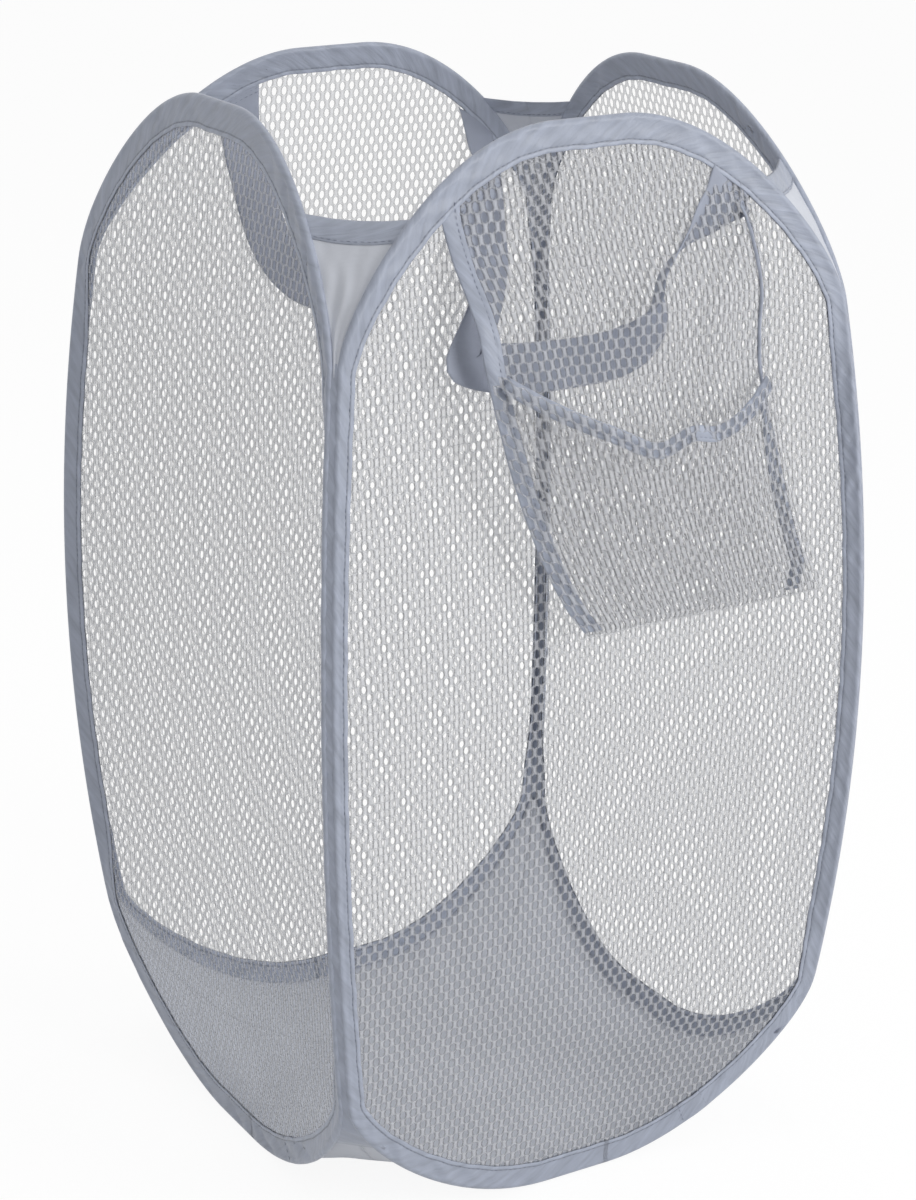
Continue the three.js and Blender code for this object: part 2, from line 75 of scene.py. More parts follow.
# Sizes of the hoops and panels, in the frame's own places
FRONT_LOW, FRONT_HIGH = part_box("front_sleeve")
BACK_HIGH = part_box("back_sleeve")[1]
TUBE = 2.3 * MM  # from the middle of the wire to the outside of its sleeve
HEIGHT = FRONT_HIGH.z
MIDDLE_Y = (FRONT_LOW.y + BACK_HIGH.y) / 2
HALF_SPREAD = (BACK_HIGH.y - FRONT_LOW.y) / 2 - TUBE
WAIST = 290 * MM  # where the bowed panels stand furthest out
BOW_DEPTH = 12.4 * MM  # how far they come in at BOW_SPAN above and below it
BOW_SPAN = 200 * MM
JOIN_LOW = 90 * MM  # neighbouring hoops run side by side from here to JOIN_HIGH
JOIN_HIGH = 490 * MM
CORNER_INSET = 3.85 * MM  # from a corner to the wires beside it
FLAT_HALF = 20 * MM  # half of an arch's straight stretch
SHOULDER_SHARE = 0.25  # how far an arch goes on straight before it turns in
CROWN_SHARE = 0.58  # how wide it stays towards its straight stretch
HOOP_STEPS = 480
HOOP_LENGTH = 2.7 * HEIGHT  # about

# Handles: where they are sewn on and how far they hang
FRONT_HINGE = 552 * MM
BACK_HINGE = 544 * MM

# Pocket: the edges of its back at its top and its floor, how far it stands off the panel, and its mouth
POCKET_FLOOR = 343 * MM
POCKET_TOP_LEFT = -84 * MM
POCKET_TOP_RIGHT = 87 * MM
POCKET_LOW_LEFT = -22 * MM
POCKET_LOW_RIGHT = 121 * MM
SWEEP_POWER = 2.2
POCKET_OUT = 3.5 * MM
POCKET_STAND_OFF = 21.5 * MM
STAND_OFF_DROP = 48 * MM
TUCK_IN = 12 * MM
TUCK_DROP = 86 * MM
POCKET_DEPTH = 24 * MM
POCKET_LIFT = 2.4 * MM
MOUTH_LEFT = 480 * MM
MOUTH_RIGHT = 462 * MM
MOUTH_SAG = 28 * MM

# Outwards in a panel's own places: across, out, height
OUTWARD = np.array([0.0, 1.0, 0.0])

SIDES = ("front", "right", "back", "left")
CORNERS = ("front_right", "back_right", "back_left", "front_left")


def length_property(name, default, description):
    """A length, its default given in millimetres."""
    return FloatProperty(name=name, unit="LENGTH", default=default * MM, description=description)


class HamperSizes(bpy.types.PropertyGroup):
    """Sizes that a user would change."""

    net_pitch: length_property("Net pitch", 6.4, "From hole to hole")
    net_row: length_property("Net row", 5, "From row to row of holes")
    hole_width: length_property("Hole width", 3.1, "Width of a hole")
    hole_height: length_property("Hole height", 5.1, "Height of a hole")
    yarn: length_property("Yarn", 0.55, "Thickness of the net's yarn")
    net_wander: length_property("Net wander", 1.6, "How far the net's holes stray")
    tape_thickness: length_property("Tape thickness", 0.35, "Of the tape round the wires")
    pucker: length_property("Pucker", 0.8, "Depth of the tape's puckers")
    stitch_length: length_property("Stitch", 2.4, "Length of a stitch")
    stitch_gap: length_property("Stitch gap", 0.9, "Between stitches")
    thread: length_property("Thread", 0.34, "Thickness of the thread")
    strap_width: length_property("Strap width", 25, "Of the handles")
    strap_thickness: length_property("Strap thickness", 1.2, "Of the handles")
    binding_width: length_property("Binding width", 9, "Of the tapes on the pocket")


def colour_property(name, default):
    """The base colour of one kind of piece."""
    return FloatVectorProperty(
        name=name, subtype="COLOR", size=3, min=0, max=1, default=default, description="Base colour"
    )


class HamperColours(bpy.types.PropertyGroup):
    """Colours that a user would change."""

    tape: colour_property("Edging tape", (0.385, 0.42, 0.51))
    thread: colour_property("Thread", (0.2, 0.225, 0.3))
    strap: colour_property("Strap", (0.35, 0.38, 0.465))
    net: colour_property("Net", (0.69, 0.7, 0.735))
    cloth: colour_property("Cloth", (0.66, 0.685, 0.75))
    steel: colour_property("Wire", (0.55, 0.56, 0.57))


def sizes():
    return bpy.context.scene.hamper_sizes


def colours():
    return bpy.context.scene.hamper_colours


# Meshes


def grid_faces(rows, columns, closed_rows=False, closed_columns=False):
    """Quads over a grid of points, counted row by row."""
    row = np.arange(rows if closed_rows else rows - 1)[:, None]
    column = np.arange(columns if closed_columns else columns - 1)[None, :]
    next_row, next_column = (row + 1) % rows, (column + 1) % columns
    corners = [
        row * columns + column,
        row * columns + next_column,
        next_row * columns + next_column,
        next_row * columns + column,
    ]
    return np.stack([np.broadcast_to(c, (row.size, column.size)) for c in corners], -1).reshape(-1, 4)


def link_object(name, data):
    """A new object of the scene, at the origin, that carries the data."""
    made = bpy.data.objects.new(name, data)
    bpy.context.scene.collection.objects.link(made)
    return made


def add_places(mesh, name, uv):
    """Puts a UV place on every corner of the mesh's faces, for its material to read."""
    mesh.uv_layers.new(name=name).data.foreach_set("uv", np.asarray(uv, np.float32).ravel())


def make_object(name, points, faces, material, uv=None, recalculate=True):
    """A mesh object at the origin, smooth, with faces outwards and, if given, a UV place for each point."""
    mesh = bpy.data.meshes.new(name)
    faces = faces.tolist() if isinstance(faces, np.ndarray) else faces
    mesh.from_pydata(np.asarray(points, float).reshape(-1, 3).tolist(), [], faces)
    mesh.materials.append(material)
    mesh.polygons.foreach_set("use_smooth", np.ones(len(mesh.polygons), bool))
    if uv is not None:
        corner = np.empty(len(mesh.loops), np.int32)
        mesh.loops.foreach_get("vertex_index", corner)
        add_places(mesh, "along_and_across", uv.reshape(-1, 2)[corner])
    if recalculate:
        work = bmesh.new()
        work.from_mesh(mesh)
        bmesh.ops.recalc_face_normals(work, faces=work.faces)
        work.to_mesh(mesh)
        work.free()
    mesh.update()
    return link_object(name, mesh)


def join(name, objects):
    """One object out of several, keeping each material."""
    materials, work = [], bmesh.new()
    for source in objects:
        first = len(work.faces)
        work.from_mesh(source.data)
        work.faces.ensure_lookup_table()
        material = next(found for found in source.data.materials if found)
        if material not in materials:
            materials.append(material)
        for face in work.faces[first:]:
            face.material_index = materials.index(material)
    mesh = bpy.data.meshes.new(name)
    work.to_mesh(mesh)
    work.free()
    for material in materials:
        mesh.materials.append(material)
    for source in objects:
        bpy.data.objects.remove(source)
    return link_object(name, mesh)


def swept(name, sections, material, closed=False, uv=None):
    """A closed body from an array of sections, each a ring of points; open ends get a cap."""
    rings, size = sections.shape[:2]
    faces = grid_faces(rings, size, closed, True).tolist()
    if not closed:
        faces += [list(range(size))[::-1], list(range((rings - 1) * size, rings * size))]
    return make_object(name, sections, faces, material, uv)


def two_faced(name, front, back, material, uv=None):
    """A closed sheet between two grids of points of the same size."""
    rows, columns = front.shape[:2]
    count = rows * columns
    inner = grid_faces(rows, columns)
    rim = np.concatenate(
        [
            np.arange(columns),
            np.arange(2, rows + 1) * columns - 1,
            np.arange(count - 2, count - columns - 1, -1),
            np.arange(rows - 2, 0, -1) * columns,
        ]
    )
    after = np.roll(rim, -1)
    walls = np.stack([rim, after, after + count, rim + count], -1)
    faces = np.concatenate([inner, inner[:, ::-1] + count, walls])
    points = np.concatenate([front.reshape(-1, 3), back.reshape(-1, 3)])
    both = None if uv is None else np.concatenate([uv.reshape(-1, 2)] * 2)
    return make_object(name, points, faces, material, both)


def unit(vectors):
    """The vectors at a length of 1."""
    return vectors / np.maximum(np.linalg.norm(vectors, axis=-1, keepdims=True), 1e-12)


def ripples(places, lengths, seed):
    """A smooth, repeatable unevenness between about -1 and 1, over places of two or more coordinates."""
    random = np.random.default_rng(seed)
    total = np.zeros(places.shape[:-1])
    for length in lengths:
        direction = unit(random.normal(size=places.shape[-1]))
        total += np.sin(places @ direction * (2 * math.pi / length) + random.uniform(0, 2 * math.pi))
    return total / math.sqrt(len(lengths)) / 1.4


def smooth_step(share):
    """0 up to a share of 0 and 1 from a share of 1, with a soft rise between them."""
    held = np.clip(share, 0, 1)
    return held * held * (3 - 2 * held)


def mix(low, high, share):
    return low + (high - low) * share


# Nodes of materials and of geometry


def add_node(tree, kind, values=None, **settings):
    """A node with its settings, its inputs linked to sockets or set to values."""
    node = tree.nodes.new(kind)
    for setting, value in settings.items():
        setattr(node, setting, value)
    for key, value in (values or {}).items():
        if isinstance(value, bpy.types.NodeSocket):
            tree.links.new(value, node.inputs[key])
        else:
            node.inputs[key].default_value = value
    return node


def add_math(tree, operation, first, second=0.0):
    """The outcome of a calculation with one or two numbers."""
    return add_node(tree, "ShaderNodeMath", {0: first, 1: second}, operation=operation).outputs["Value"]


def add_vector_math(tree, operation, first, second):
    """The outcome of a calculation with a vector and another one or, to scale it, a number."""
    values = {0: first, 3 if operation == "SCALE" else 1: second}
    return add_node(tree, "ShaderNodeVectorMath", values, operation=operation).outputs["Vector"]


# Materials

# Painted light and shade on a sleeve's tape, following the relief of its hem: factors at distances in
# millimetres from the hem, with painted shade at its rim and in the groove of its stitches and a painted
# highlight on the raised strip between; and the distance at which they end
HEM_LIGHT_AND_SHADE = ((0.1, 0.8), (0.5, 1.1), (2.1, 1.08), (2.5, 0.7), (2.9, 0.72), (3.4, 0.98), (5, 1.0))
HEM_SHADING_END = 8
# Painted shade on the net's yarn: a darker line just outside each hole's rim, where the yarn thins, and
# lighter yarn elsewhere; factors at shares of the way across a cell from its middle
YARN_RIM_SHADE = ((0.02, 1.1), (0.17, 1.05), (0.23, 0.6), (0.3, 0.56), (0.36, 1.05), (0.5, 1.15))
TWILL_TURN = math.radians(38)
# the slant of the painted sheen streaks on a tape
SHEEN_STREAK_TURN = math.radians(-34)
WAVE_SPACING = 0.314  # metres between the bands of a wave texture at a scale of 1


def principled(name, colour, roughness, **constants):
    """A new material, its node tree and its main shader, with what is the same all over set on the shader."""
    material = bpy.data.materials.new(name)
    material.use_nodes = True
    tree = material.node_tree
    shader = tree.nodes["Principled BSDF"]
    shader.inputs["Base Color"].default_value = (*colour, 1)
    shader.inputs["Roughness"].default_value = roughness
    for socket, value in constants.items():
        shader.inputs[socket.replace("_", " ")].default_value = value
    return material, tree, shader


def shaded(colour, factor):
    """A colour made lighter or darker."""
    return tuple(min(1, channel * factor) for channel in colour) + (1,)


def object_places(tree):
    return add_node(tree, "ShaderNodeTexCoord").outputs["Object"]


def surface_places(tree, name="along_and_across"):
    """The UV places that the piece's faces carry."""
    return add_node(tree, "ShaderNodeUVMap", uv_map=name).outputs["UV"]


def colour_ramp(tree, value, stops):
    """The colour that belongs to a value, between stops of a position and a colour each."""
    ramp = add_node(tree, "ShaderNodeValToRGB", {"Fac": value})
    elements = ramp.color_ramp.elements
    for position, colour in stops:
        elements.new(position).color = colour
    elements.remove(elements[0])
    elements.remove(elements[-1])
    return ramp.outputs["Color"]


def noise_height(tree, coordinates, scale, detail):
    values = {"Vector": coordinates, "Scale": scale, "Detail": detail}
    return add_node(tree, "ShaderNodeTexNoise", values).outputs["Fac"]


def vary_colour(tree, shader, colour, spread, scale, coordinates, contrast=1.0):
    """Soft patches of a little lighter and a little darker colour."""
    half = 0.25 / contrast
    stops = [(0.5 - half, shaded(colour, 1 - spread)), (0.5 + half, shaded(colour, 1 + spread))]
    patches = colour_ramp(tree, noise_height(tree, coordinates, scale, 4), stops)
    tree.links.new(patches, shader.inputs["Base Color"])


def woven_height(tree, coordinates, pitch, twill=False):
    """The relief of a weave with threads pitch apart, along both axes or, for a twill, slanting."""
    turn = TWILL_TURN if twill else 0
    mapping = add_node(tree, "ShaderNodeMapping", {"Vector": coordinates, "Rotation": (0, 0, turn)})
    values = {"Vector": mapping.outputs["Vector"], "Scale": WAVE_SPACING / pitch, "Distortion": 0.6}
    heights = [
        add_node(tree, "ShaderNodeTexWave", values, bands_direction=axis).outputs["Fac"] for axis in "XY"
    ]
    return add_math(tree, "MAXIMUM" if twill else "MULTIPLY", *heights)


def add_bump(tree, shader, *layers):
    """Bumps on the shader, each layer being a height socket, its strength and its depth."""
    below = {}
    for height, strength, depth in layers:
        values = {"Height": height, "Strength": strength, "Distance": depth, **below}
        below = {"Normal": add_node(tree, "ShaderNodeBump", values).outputs["Normal"]}
    tree.links.new(below["Normal"], shader.inputs["Normal"])


def vary_roughness(tree, shader, height, low, high):
    span = add_node(tree, "ShaderNodeMapRange", {"Value": height, "To Min": low, "To Max": high})
    tree.links.new(span.outputs["Result"], shader.inputs["Roughness"])


def slanting(tree, coordinates, angle, along, across):
    """The coordinates turned by the angle and then scaled, for patches that run slantwise along a tape."""
    values = {"Vector": coordinates, "Rotation": (0, 0, angle), "Scale": (1 / along, 1 / across, 1)}
    return add_node(tree, "ShaderNodeMapping", values, vector_type="TEXTURE").outputs["Vector"]


def tape_material(name, colour):
    """Satin tape: a fine slanting weave, soft slanting streaks of sheen painted into its colour as lighter and
    darker bands, and small creases.
    """
    material, tree, shader = principled(
        name, colour, 0.42, Sheen_Weight=0.3, Sheen_Roughness=0.35, Specular_IOR_Level=0.6
    )
    surface = surface_places(tree)
    streaks = slanting(tree, surface, SHEEN_STREAK_TURN, 38, 260)
    # Painted sheen: slanting streaks of lighter and darker colour along the tape
    vary_colour(tree, shader, colour, 0.2, 1, streaks, 0.9)
    folds = noise_height(tree, streaks, 1, 2)
    creases = noise_height(tree, object_places(tree), 190, 5)
    weave = woven_height(tree, surface, 0.45 * MM, twill=True)
    vary_roughness(tree, shader, folds, 0.3, 0.62)
    add_bump(tree, shader, (folds, 0.7, 1.1 * MM), (creases, 0.3, 0.45 * MM), (weave, 0.25, 0.12 * MM))
    return material


def hem_shaded_material(name, colour):
    """The tape again, with painted light and shade along its hem: a painted highlight on the raised strip, and
    painted shade at its rim and in the groove where it is stitched.
    """
    material = tape_material(name, colour)
    tree = material.node_tree
    shader = tree.nodes["Principled BSDF"]
    parts = add_node(tree, "ShaderNodeSeparateXYZ", {"Vector": surface_places(tree)})
    to_hem = add_node(
        tree, "ShaderNodeMapRange", {"Value": parts.outputs["Y"], "From Max": HEM_SHADING_END * MM}
    )
    # Painted shade at the hem's rim and in its stitched groove, and a painted highlight on the raised strip
    # between
    stops = [(place / HEM_SHADING_END, (factor, factor, factor, 1)) for place, factor in HEM_LIGHT_AND_SHADE]
    lines = colour_ramp(tree, to_hem.outputs["Result"], stops)
    plain = shader.inputs["Base Color"].links[0].from_socket
    tree.links.new(add_vector_math(tree, "MULTIPLY", plain, lines), shader.inputs["Base Color"])
    return material


def strap_material(name, colour):
    """Soft woven strap with fine ribs across it."""
    material, tree, shader = principled(name, colour, 0.55, Sheen_Weight=0.3, Sheen_Roughness=0.45)
    place = object_places(tree)
    vary_colour(tree, shader, colour, 0.1, 45, place, 0.8)
    folds = noise_height(tree, place, 90, 4)
    weave = woven_height(tree, surface_places(tree), 0.7 * MM)
    vary_roughness(tree, shader, folds, 0.45, 0.68)
    add_bump(tree, shader, (folds, 0.4, 0.8 * MM), (weave, 0.4, 0.2 * MM))
    return material


def net_material(name, colour):
    """Pale knitted yarn that lets some light through, with a line of painted shade beside each hole, where the
    yarn thins to its rim.
    """
    material, tree, shader = principled(name, colour, 0.5, Sheen_Weight=0.15, Sheen_Roughness=0.5, Alpha=0.34)
    parts = add_node(tree, "ShaderNodeSeparateXYZ", {"Vector": surface_places(tree, "in_cell")})
    # Painted shade beside each hole's rim
    stops = [(place, shaded(colour, factor)) for place, factor in YARN_RIM_SHADE]
    lines = colour_ramp(tree, add_math(tree, "ABSOLUTE", parts.outputs["X"]), stops)
    tree.links.new(lines, shader.inputs["Base Color"])
    threads = noise_height(tree, object_places(tree), 2600, 2)
    vary_roughness(tree, shader, threads, 0.42, 0.7)
    add_bump(tree, shader, (threads, 0.5, 0.15 * MM))
    return material


def cloth_material(name, colour):
    """Thin plain-woven cloth with soft creases."""
    material, tree, shader = principled(name, colour, 0.78, Sheen_Weight=0.15, Sheen_Roughness=0.6)
    place = object_places(tree)
    vary_colour(tree, shader, colour, 0.06, 38, place, 0.8)
    creases = noise_height(tree, place, 60, 5)
    weave = woven_height(tree, surface_places(tree), 0.55 * MM)
    vary_roughness(tree, shader, creases, 0.7, 0.88)
    add_bump(tree, shader, (creases, 0.35, 1.2 * MM), (weave, 0.35, 0.12 * MM))
    return material


def thread_material(name, colour):
    """Sewing thread in a soft, uneven colour."""
    material, tree, shader = principled(name, colour, 0.6, Sheen_Weight=0.2)
    vary_colour(tree, shader, colour, 0.15, 900, object_places(tree))
    return material


def steel_material(name, colour):
    """Drawn spring wire with fine lines and a few dull patches."""
    material, tree, shader = principled(name, colour, 0.32, Metallic=1.0)
    place = object_places(tree)
    vary_colour(tree, shader, colour, 0.12, 300, place)
    lines = noise_height(tree, place, 1500, 4)
    vary_roughness(tree, shader, lines, 0.22, 0.45)
    add_bump(tree, shader, (lines, 0.2, 0.03 * MM))
    return material


MATERIAL_MAKERS = {
    "tape": tape_material,
    "hemmed_tape": hem_shaded_material,
    "thread": thread_material,
    "strap": strap_material,
    "net": net_material,
    "cloth": cloth_material,
    "steel": steel_material,
}


def material_of(kind):
    """The hamper's material of that kind, made when it is first asked for."""
    name = "hamper " + kind
    found = bpy.data.materials.get(name)
    return found or MATERIAL_MAKERS[kind](name, tuple(getattr(colours(), kind.split("_")[-1])))


# Geometry node trees


def new_tree(name, sockets):
    """A geometry node tree with the named inputs, each a socket kind, and one geometry output."""
    tree = bpy.data.node_groups.new(name, "GeometryNodeTree")
    tree.interface.new_socket("Geometry", in_out="INPUT", socket_type="NodeSocketGeometry")
    for socket, kind in sockets.items():
        tree.interface.new_socket(socket, in_out="INPUT", socket_type="NodeSocket" + kind)
    tree.interface.new_socket("Geometry", in_out="OUTPUT", socket_type="NodeSocketGeometry")
    return tree, tree.nodes.new("NodeGroupInput").outputs, tree.nodes.new("NodeGroupOutput").inputs[0]


def end_tree(tree, geometry, material, result):
    """Makes the tree's geometry smooth, gives it the material and puts it out."""
    soft = add_node(tree, "GeometryNodeSetShadeSmooth", {0: geometry})
    painted = add_node(tree, "GeometryNodeSetMaterial", {"Geometry": soft.outputs[0], "Material": material})
    tree.links.new(painted.outputs["Geometry"], result)


def run_tree(name, mesh, tree, **inputs):
    """The plain mesh that the tree makes out of the given one, with its inputs set by their identifiers."""
    carrier = link_object(name, mesh)
    modifier = carrier.modifiers.new(name, "NODES")
    modifier.node_group = tree
    for item in tree.interface.items_tree:
        key = item.name.lower().replace(" ", "_")
        if item.in_out == "INPUT" and key in inputs:
            modifier[item.identifier] = inputs[key]
    evaluated = carrier.evaluated_get(bpy.context.evaluated_depsgraph_get())
    result = bpy.data.meshes.new_from_object(evaluated)
    result.name = name
    bpy.data.objects.remove(carrier)
    return result


def stitch_tree():
    """Stitches along the edges of a mesh: each is a small long bead, laid along the line."""
    found = bpy.data.node_groups.get("Stitch row")
    if found:
        return found
    tree, given, result = new_tree(
        "Stitch row",
        {"Spacing": "Float", "Stitch Length": "Float", "Thread": "Float", "Material": "Material"},
    )
    line = add_node(tree, "GeometryNodeMeshToCurve", {"Mesh": given["Geometry"]})
    points = add_node(
        tree,
        "GeometryNodeCurveToPoints",
        {"Curve": line.outputs["Curve"], "Length": given["Spacing"]},
        mode="LENGTH",
    )
    bead = add_node(tree, "GeometryNodeMeshIcoSphere", {"Radius": 0.5, "Subdivisions": 1})
    size = add_node(
        tree,
        "ShaderNodeCombineXYZ",
        {"X": given["Thread"], "Y": given["Thread"], "Z": given["Stitch Length"]},
    )
    stitches = add_node(
        tree,
        "GeometryNodeInstanceOnPoints",
        {
            "Points": points.outputs["Points"],
            "Instance": bead.outputs["Mesh"],
            "Rotation": points.outputs["Rotation"],
            "Scale": size.outputs["Vector"],
        },
    )
    real = add_node(tree, "GeometryNodeRealizeInstances", {"Geometry": stitches.outputs["Instances"]})
    end_tree(tree, real.outputs["Geometry"], given["Material"], result)
    return tree


def sew(name, lines, closed=False):
    """Rows of stitches along lines of points."""
    points = np.concatenate(lines)
    edges, first = [], 0
    for line in lines:
        count = len(line)
        last = count if closed else count - 1
        edges += [(first + index, first + (index + 1) % count) for index in range(last)]
        first += count
    path = bpy.data.meshes.new(name)
    path.from_pydata(points.tolist(), edges, [])
    size = sizes()
    mesh = run_tree(
        name,
        path,
        stitch_tree(),
        spacing=size.stitch_length + size.stitch_gap,
        stitch_length=size.stitch_length,
        thread=size.thread,
        material=material_of("thread"),
    )
    return link_object(name, mesh)


def net_cell():
    """One hole of the net in its six-sided cell: the yarn is thick along the border and thin at the hole."""
    size = sizes()
    pitch, row, yarn = size.net_pitch, size.net_row, size.yarn
    tall, low = row * 2 / 3, row / 3
    border = [
        (0, tall), (-pitch / 2, low), (-pitch / 2, 0), (-pitch / 2, -low),
        (0, -tall), (pitch / 2, -low), (pitch / 2, 0), (pitch / 2, low),
    ]  # fmt: skip
    turns = np.radians([90, 138, 180, 222, 270, 318, 360, 402])
    hole = np.stack([np.cos(turns) * size.hole_width / 2, np.sin(turns) * size.hole_height / 2], -1)
    count = len(border)
    flat = np.concatenate([border, border, hole]) / (pitch, 2 * row)
    points = (
        [(x, y, yarn / 2) for x, y in border]
        + [(x, y, -yarn / 2) for x, y in border]
        + [(x, y, 0) for x, y in hole]
    )
    faces = []
    for index in range(count):
        after = (index + 1) % count
        faces.append((index, after, 2 * count + after, 2 * count + index))
        faces.append((count + after, count + index, 2 * count + index, 2 * count + after))
    mesh = bpy.data.meshes.new("net cell")
    mesh.from_pydata(points, [], faces)
    add_places(mesh, "in_cell", flat[np.array(faces).ravel()])
    return link_object("net cell", mesh)


def net_tree():
    """A flat knitted net: staggered rows of cells over the cut shape, which stray a little."""
    found = bpy.data.node_groups.get("Knitted net")
    if found:
        return found
    tree, given, result = new_tree(
        "Knitted net",
        {
            "Columns": "Int",
            "Rows": "Int",
            "Pitch": "Float",
            "Row": "Float",
            "Cell": "Object",
            "Cut Shape": "Object",
            "Wander": "Float",
            "Wander Size": "Float",
            "Material": "Material",
        },
    )
    width = add_math(tree, "MULTIPLY", given["Pitch"], add_math(tree, "SUBTRACT", given["Columns"], 1.0))
    height = add_math(tree, "MULTIPLY", given["Row"], add_math(tree, "SUBTRACT", given["Rows"], 1.0))
    lattice = add_node(
        tree,
        "GeometryNodeMeshGrid",
        {"Size X": width, "Size Y": height, "Vertices X": given["Columns"], "Vertices Y": given["Rows"]},
    )
    place = add_node(tree, "GeometryNodeInputPosition").outputs["Position"]
    parts = add_node(tree, "ShaderNodeSeparateXYZ", {"Vector": place})
    row = add_math(tree, "ROUND", add_math(tree, "DIVIDE", parts.outputs["Y"], given["Row"]))
    odd = add_math(tree, "FLOORED_MODULO", row, 2.0)
    shift = add_math(tree, "MULTIPLY", odd, add_math(tree, "MULTIPLY", given["Pitch"], 0.5))
    sideways = add_node(tree, "ShaderNodeCombineXYZ", {"X": shift})
    staggered = add_node(
        tree,
        "GeometryNodeSetPosition",
        {"Geometry": lattice.outputs["Mesh"], "Offset": sideways.outputs["Vector"]},
    )
    cut = add_node(tree, "GeometryNodeObjectInfo", {"Object": given["Cut Shape"]})
    ray = add_node(
        tree,
        "GeometryNodeRaycast",
        {
            "Target Geometry": cut.outputs["Geometry"],
            "Source Position": add_vector_math(tree, "ADD", place, (0, 0, 1)),
            "Ray Direction": (0, 0, -1),
            "Ray Length": 2.0,
        },
    )
    outside = add_node(tree, "FunctionNodeBooleanMath", {0: ray.outputs["Is Hit"]}, operation="NOT")
    kept = add_node(
        tree,
        "GeometryNodeDeleteGeometry",
        {"Geometry": staggered.outputs["Geometry"], "Selection": outside.outputs["Boolean"]},
        domain="POINT",
    )
    cell = add_node(tree, "GeometryNodeObjectInfo", {"Object": given["Cell"]})
    cells = add_node(
        tree,
        "GeometryNodeInstanceOnPoints",
        {"Points": kept.outputs["Geometry"], "Instance": cell.outputs["Geometry"]},
    )
    real = add_node(tree, "GeometryNodeRealizeInstances", {"Geometry": cells.outputs["Instances"]})
    merged = add_node(
        tree,
        "GeometryNodeMergeByDistance",
        {"Geometry": real.outputs["Geometry"], "Distance": 0.02 * MM},
    )
    flat = add_node(tree, "ShaderNodeCombineXYZ", {"X": parts.outputs["X"], "Y": parts.outputs["Y"]})
    often = add_math(tree, "DIVIDE", 1.0, given["Wander Size"])
    scaled = add_vector_math(tree, "SCALE", flat.outputs["Vector"], often)
    noise = add_node(tree, "ShaderNodeTexNoise", {"Vector": scaled, "Scale": 1.0, "Detail": 2.0})
    centred = add_vector_math(tree, "SUBTRACT", noise.outputs["Color"], (0.5, 0.5, 0.5))
    level = add_vector_math(tree, "MULTIPLY", centred, (2.0, 2.0, 0.0))
    stray = add_vector_math(tree, "SCALE", level, given["Wander"])
    strayed = add_node(
        tree, "GeometryNodeSetPosition", {"Geometry": merged.outputs["Geometry"], "Offset": stray}
    )
    end_tree(tree, strayed.outputs["Geometry"], given["Material"], result)
    return tree


def flat_net(name, outline):
    """Points and faces of a closed flat net over an outline of (u, v) places, as thick as its yarn."""
    size = sizes()
    pitch, row = size.net_pitch, size.net_row
    cell = net_cell()
    outline = np.asarray(outline, float)
    cut_mesh = bpy.data.meshes.new(name + " cut")
    cut_mesh.from_pydata([(u, v, 0) for u, v in outline], [], [list(range(len(outline)))])
    cut = link_object(name + " cut", cut_mesh)
    reach = np.abs(outline).max(0)
    mesh = run_tree(
        name,
        bpy.data.meshes.new(name),
        net_tree(),
        columns=int(2 * math.ceil(reach[0] / pitch) + 3),
        rows=int(2 * math.ceil(reach[1] / row) + 3),
        pitch=pitch,
        row=row,
        cell=cell,
        cut_shape=cut,
        wander=size.net_wander,
        wander_size=60 * MM,
        material=material_of("net"),
    )
    bpy.data.objects.remove(cell)
    bpy.data.objects.remove(cut)
    points = np.empty(len(mesh.vertices) * 3)
    mesh.vertices.foreach_get("co", points)
    corners = np.empty(len(mesh.loops), np.int64)
    mesh.loops.foreach_get("vertex_index", corners)
    in_cell = np.empty(len(mesh.loops) * 2)
    mesh.uv_layers["in_cell"].data.foreach_get("uv", in_cell)
    bpy.data.meshes.remove(mesh)
    return close_net(points.reshape(-1, 3), corners.reshape(-1, 4), in_cell.reshape(-1, 2))


def close_net(points, faces, in_cell):
    """Adds the walls between the front and the back of a net's outer border."""
    edges = np.stack([faces, np.roll(faces, -1, 1)], -1).reshape(-1, 2)
    keys = np.sort(edges, 1) @ np.array([len(points), 1])
    _, first, uses = np.unique(keys, return_index=True, return_counts=True)
    border = edges[first[uses == 1]]
    border = border[points[border[:, 0], 2] > 0]
    places = [tuple(place) for place in np.round(points[:, :2] * 1e5).astype(int)]
    back = {place: index for index, place in enumerate(places) if points[index, 2] < -1e-5}
    walls = [(end, start, back[places[start]], back[places[end]]) for start, end in border.tolist()]
    uv = np.concatenate([in_cell, np.full((4 * len(walls), 2), 0.5)])
    return points, np.concatenate([faces, np.array(walls)]), uv


def net_object(name, points, faces, in_cell):
    """A piece of net at its places, which keeps each point's place in its cell for the yarn's look."""
    made = make_object(name, points, faces, material_of("net"), recalculate=False)
    add_places(made.data, "in_cell", in_cell)
    return made


# The bowed panels


def sheet_distance(height):
    """From the hamper's axis to a panel."""
    return HALF_SPREAD - BOW_DEPTH * ((height - WAIST) / BOW_SPAN) ** 2


def turned_round(side, x, y, height):
    """Places given as if they were at the front, turned round to a side of the hamper."""
    turn = SIDES.index(side) * math.pi / 2
    cos, sin = math.cos(turn), math.sin(turn)
    return np.stack([x * cos - y * sin, x * sin + y * cos + MIDDLE_Y, height], -1)


def on_panel(side, across, out, height):
    """Places across, out of and up a panel, as points of the frame."""
    across, out, height = np.broadcast_arrays(across, out, height)
    return turned_round(side, across, -(sheet_distance(height) + out), height)


def side_half(height):
    """Half of a hoop's width where it runs beside its neighbours."""
    return sheet_distance(height) - CORNER_INSET


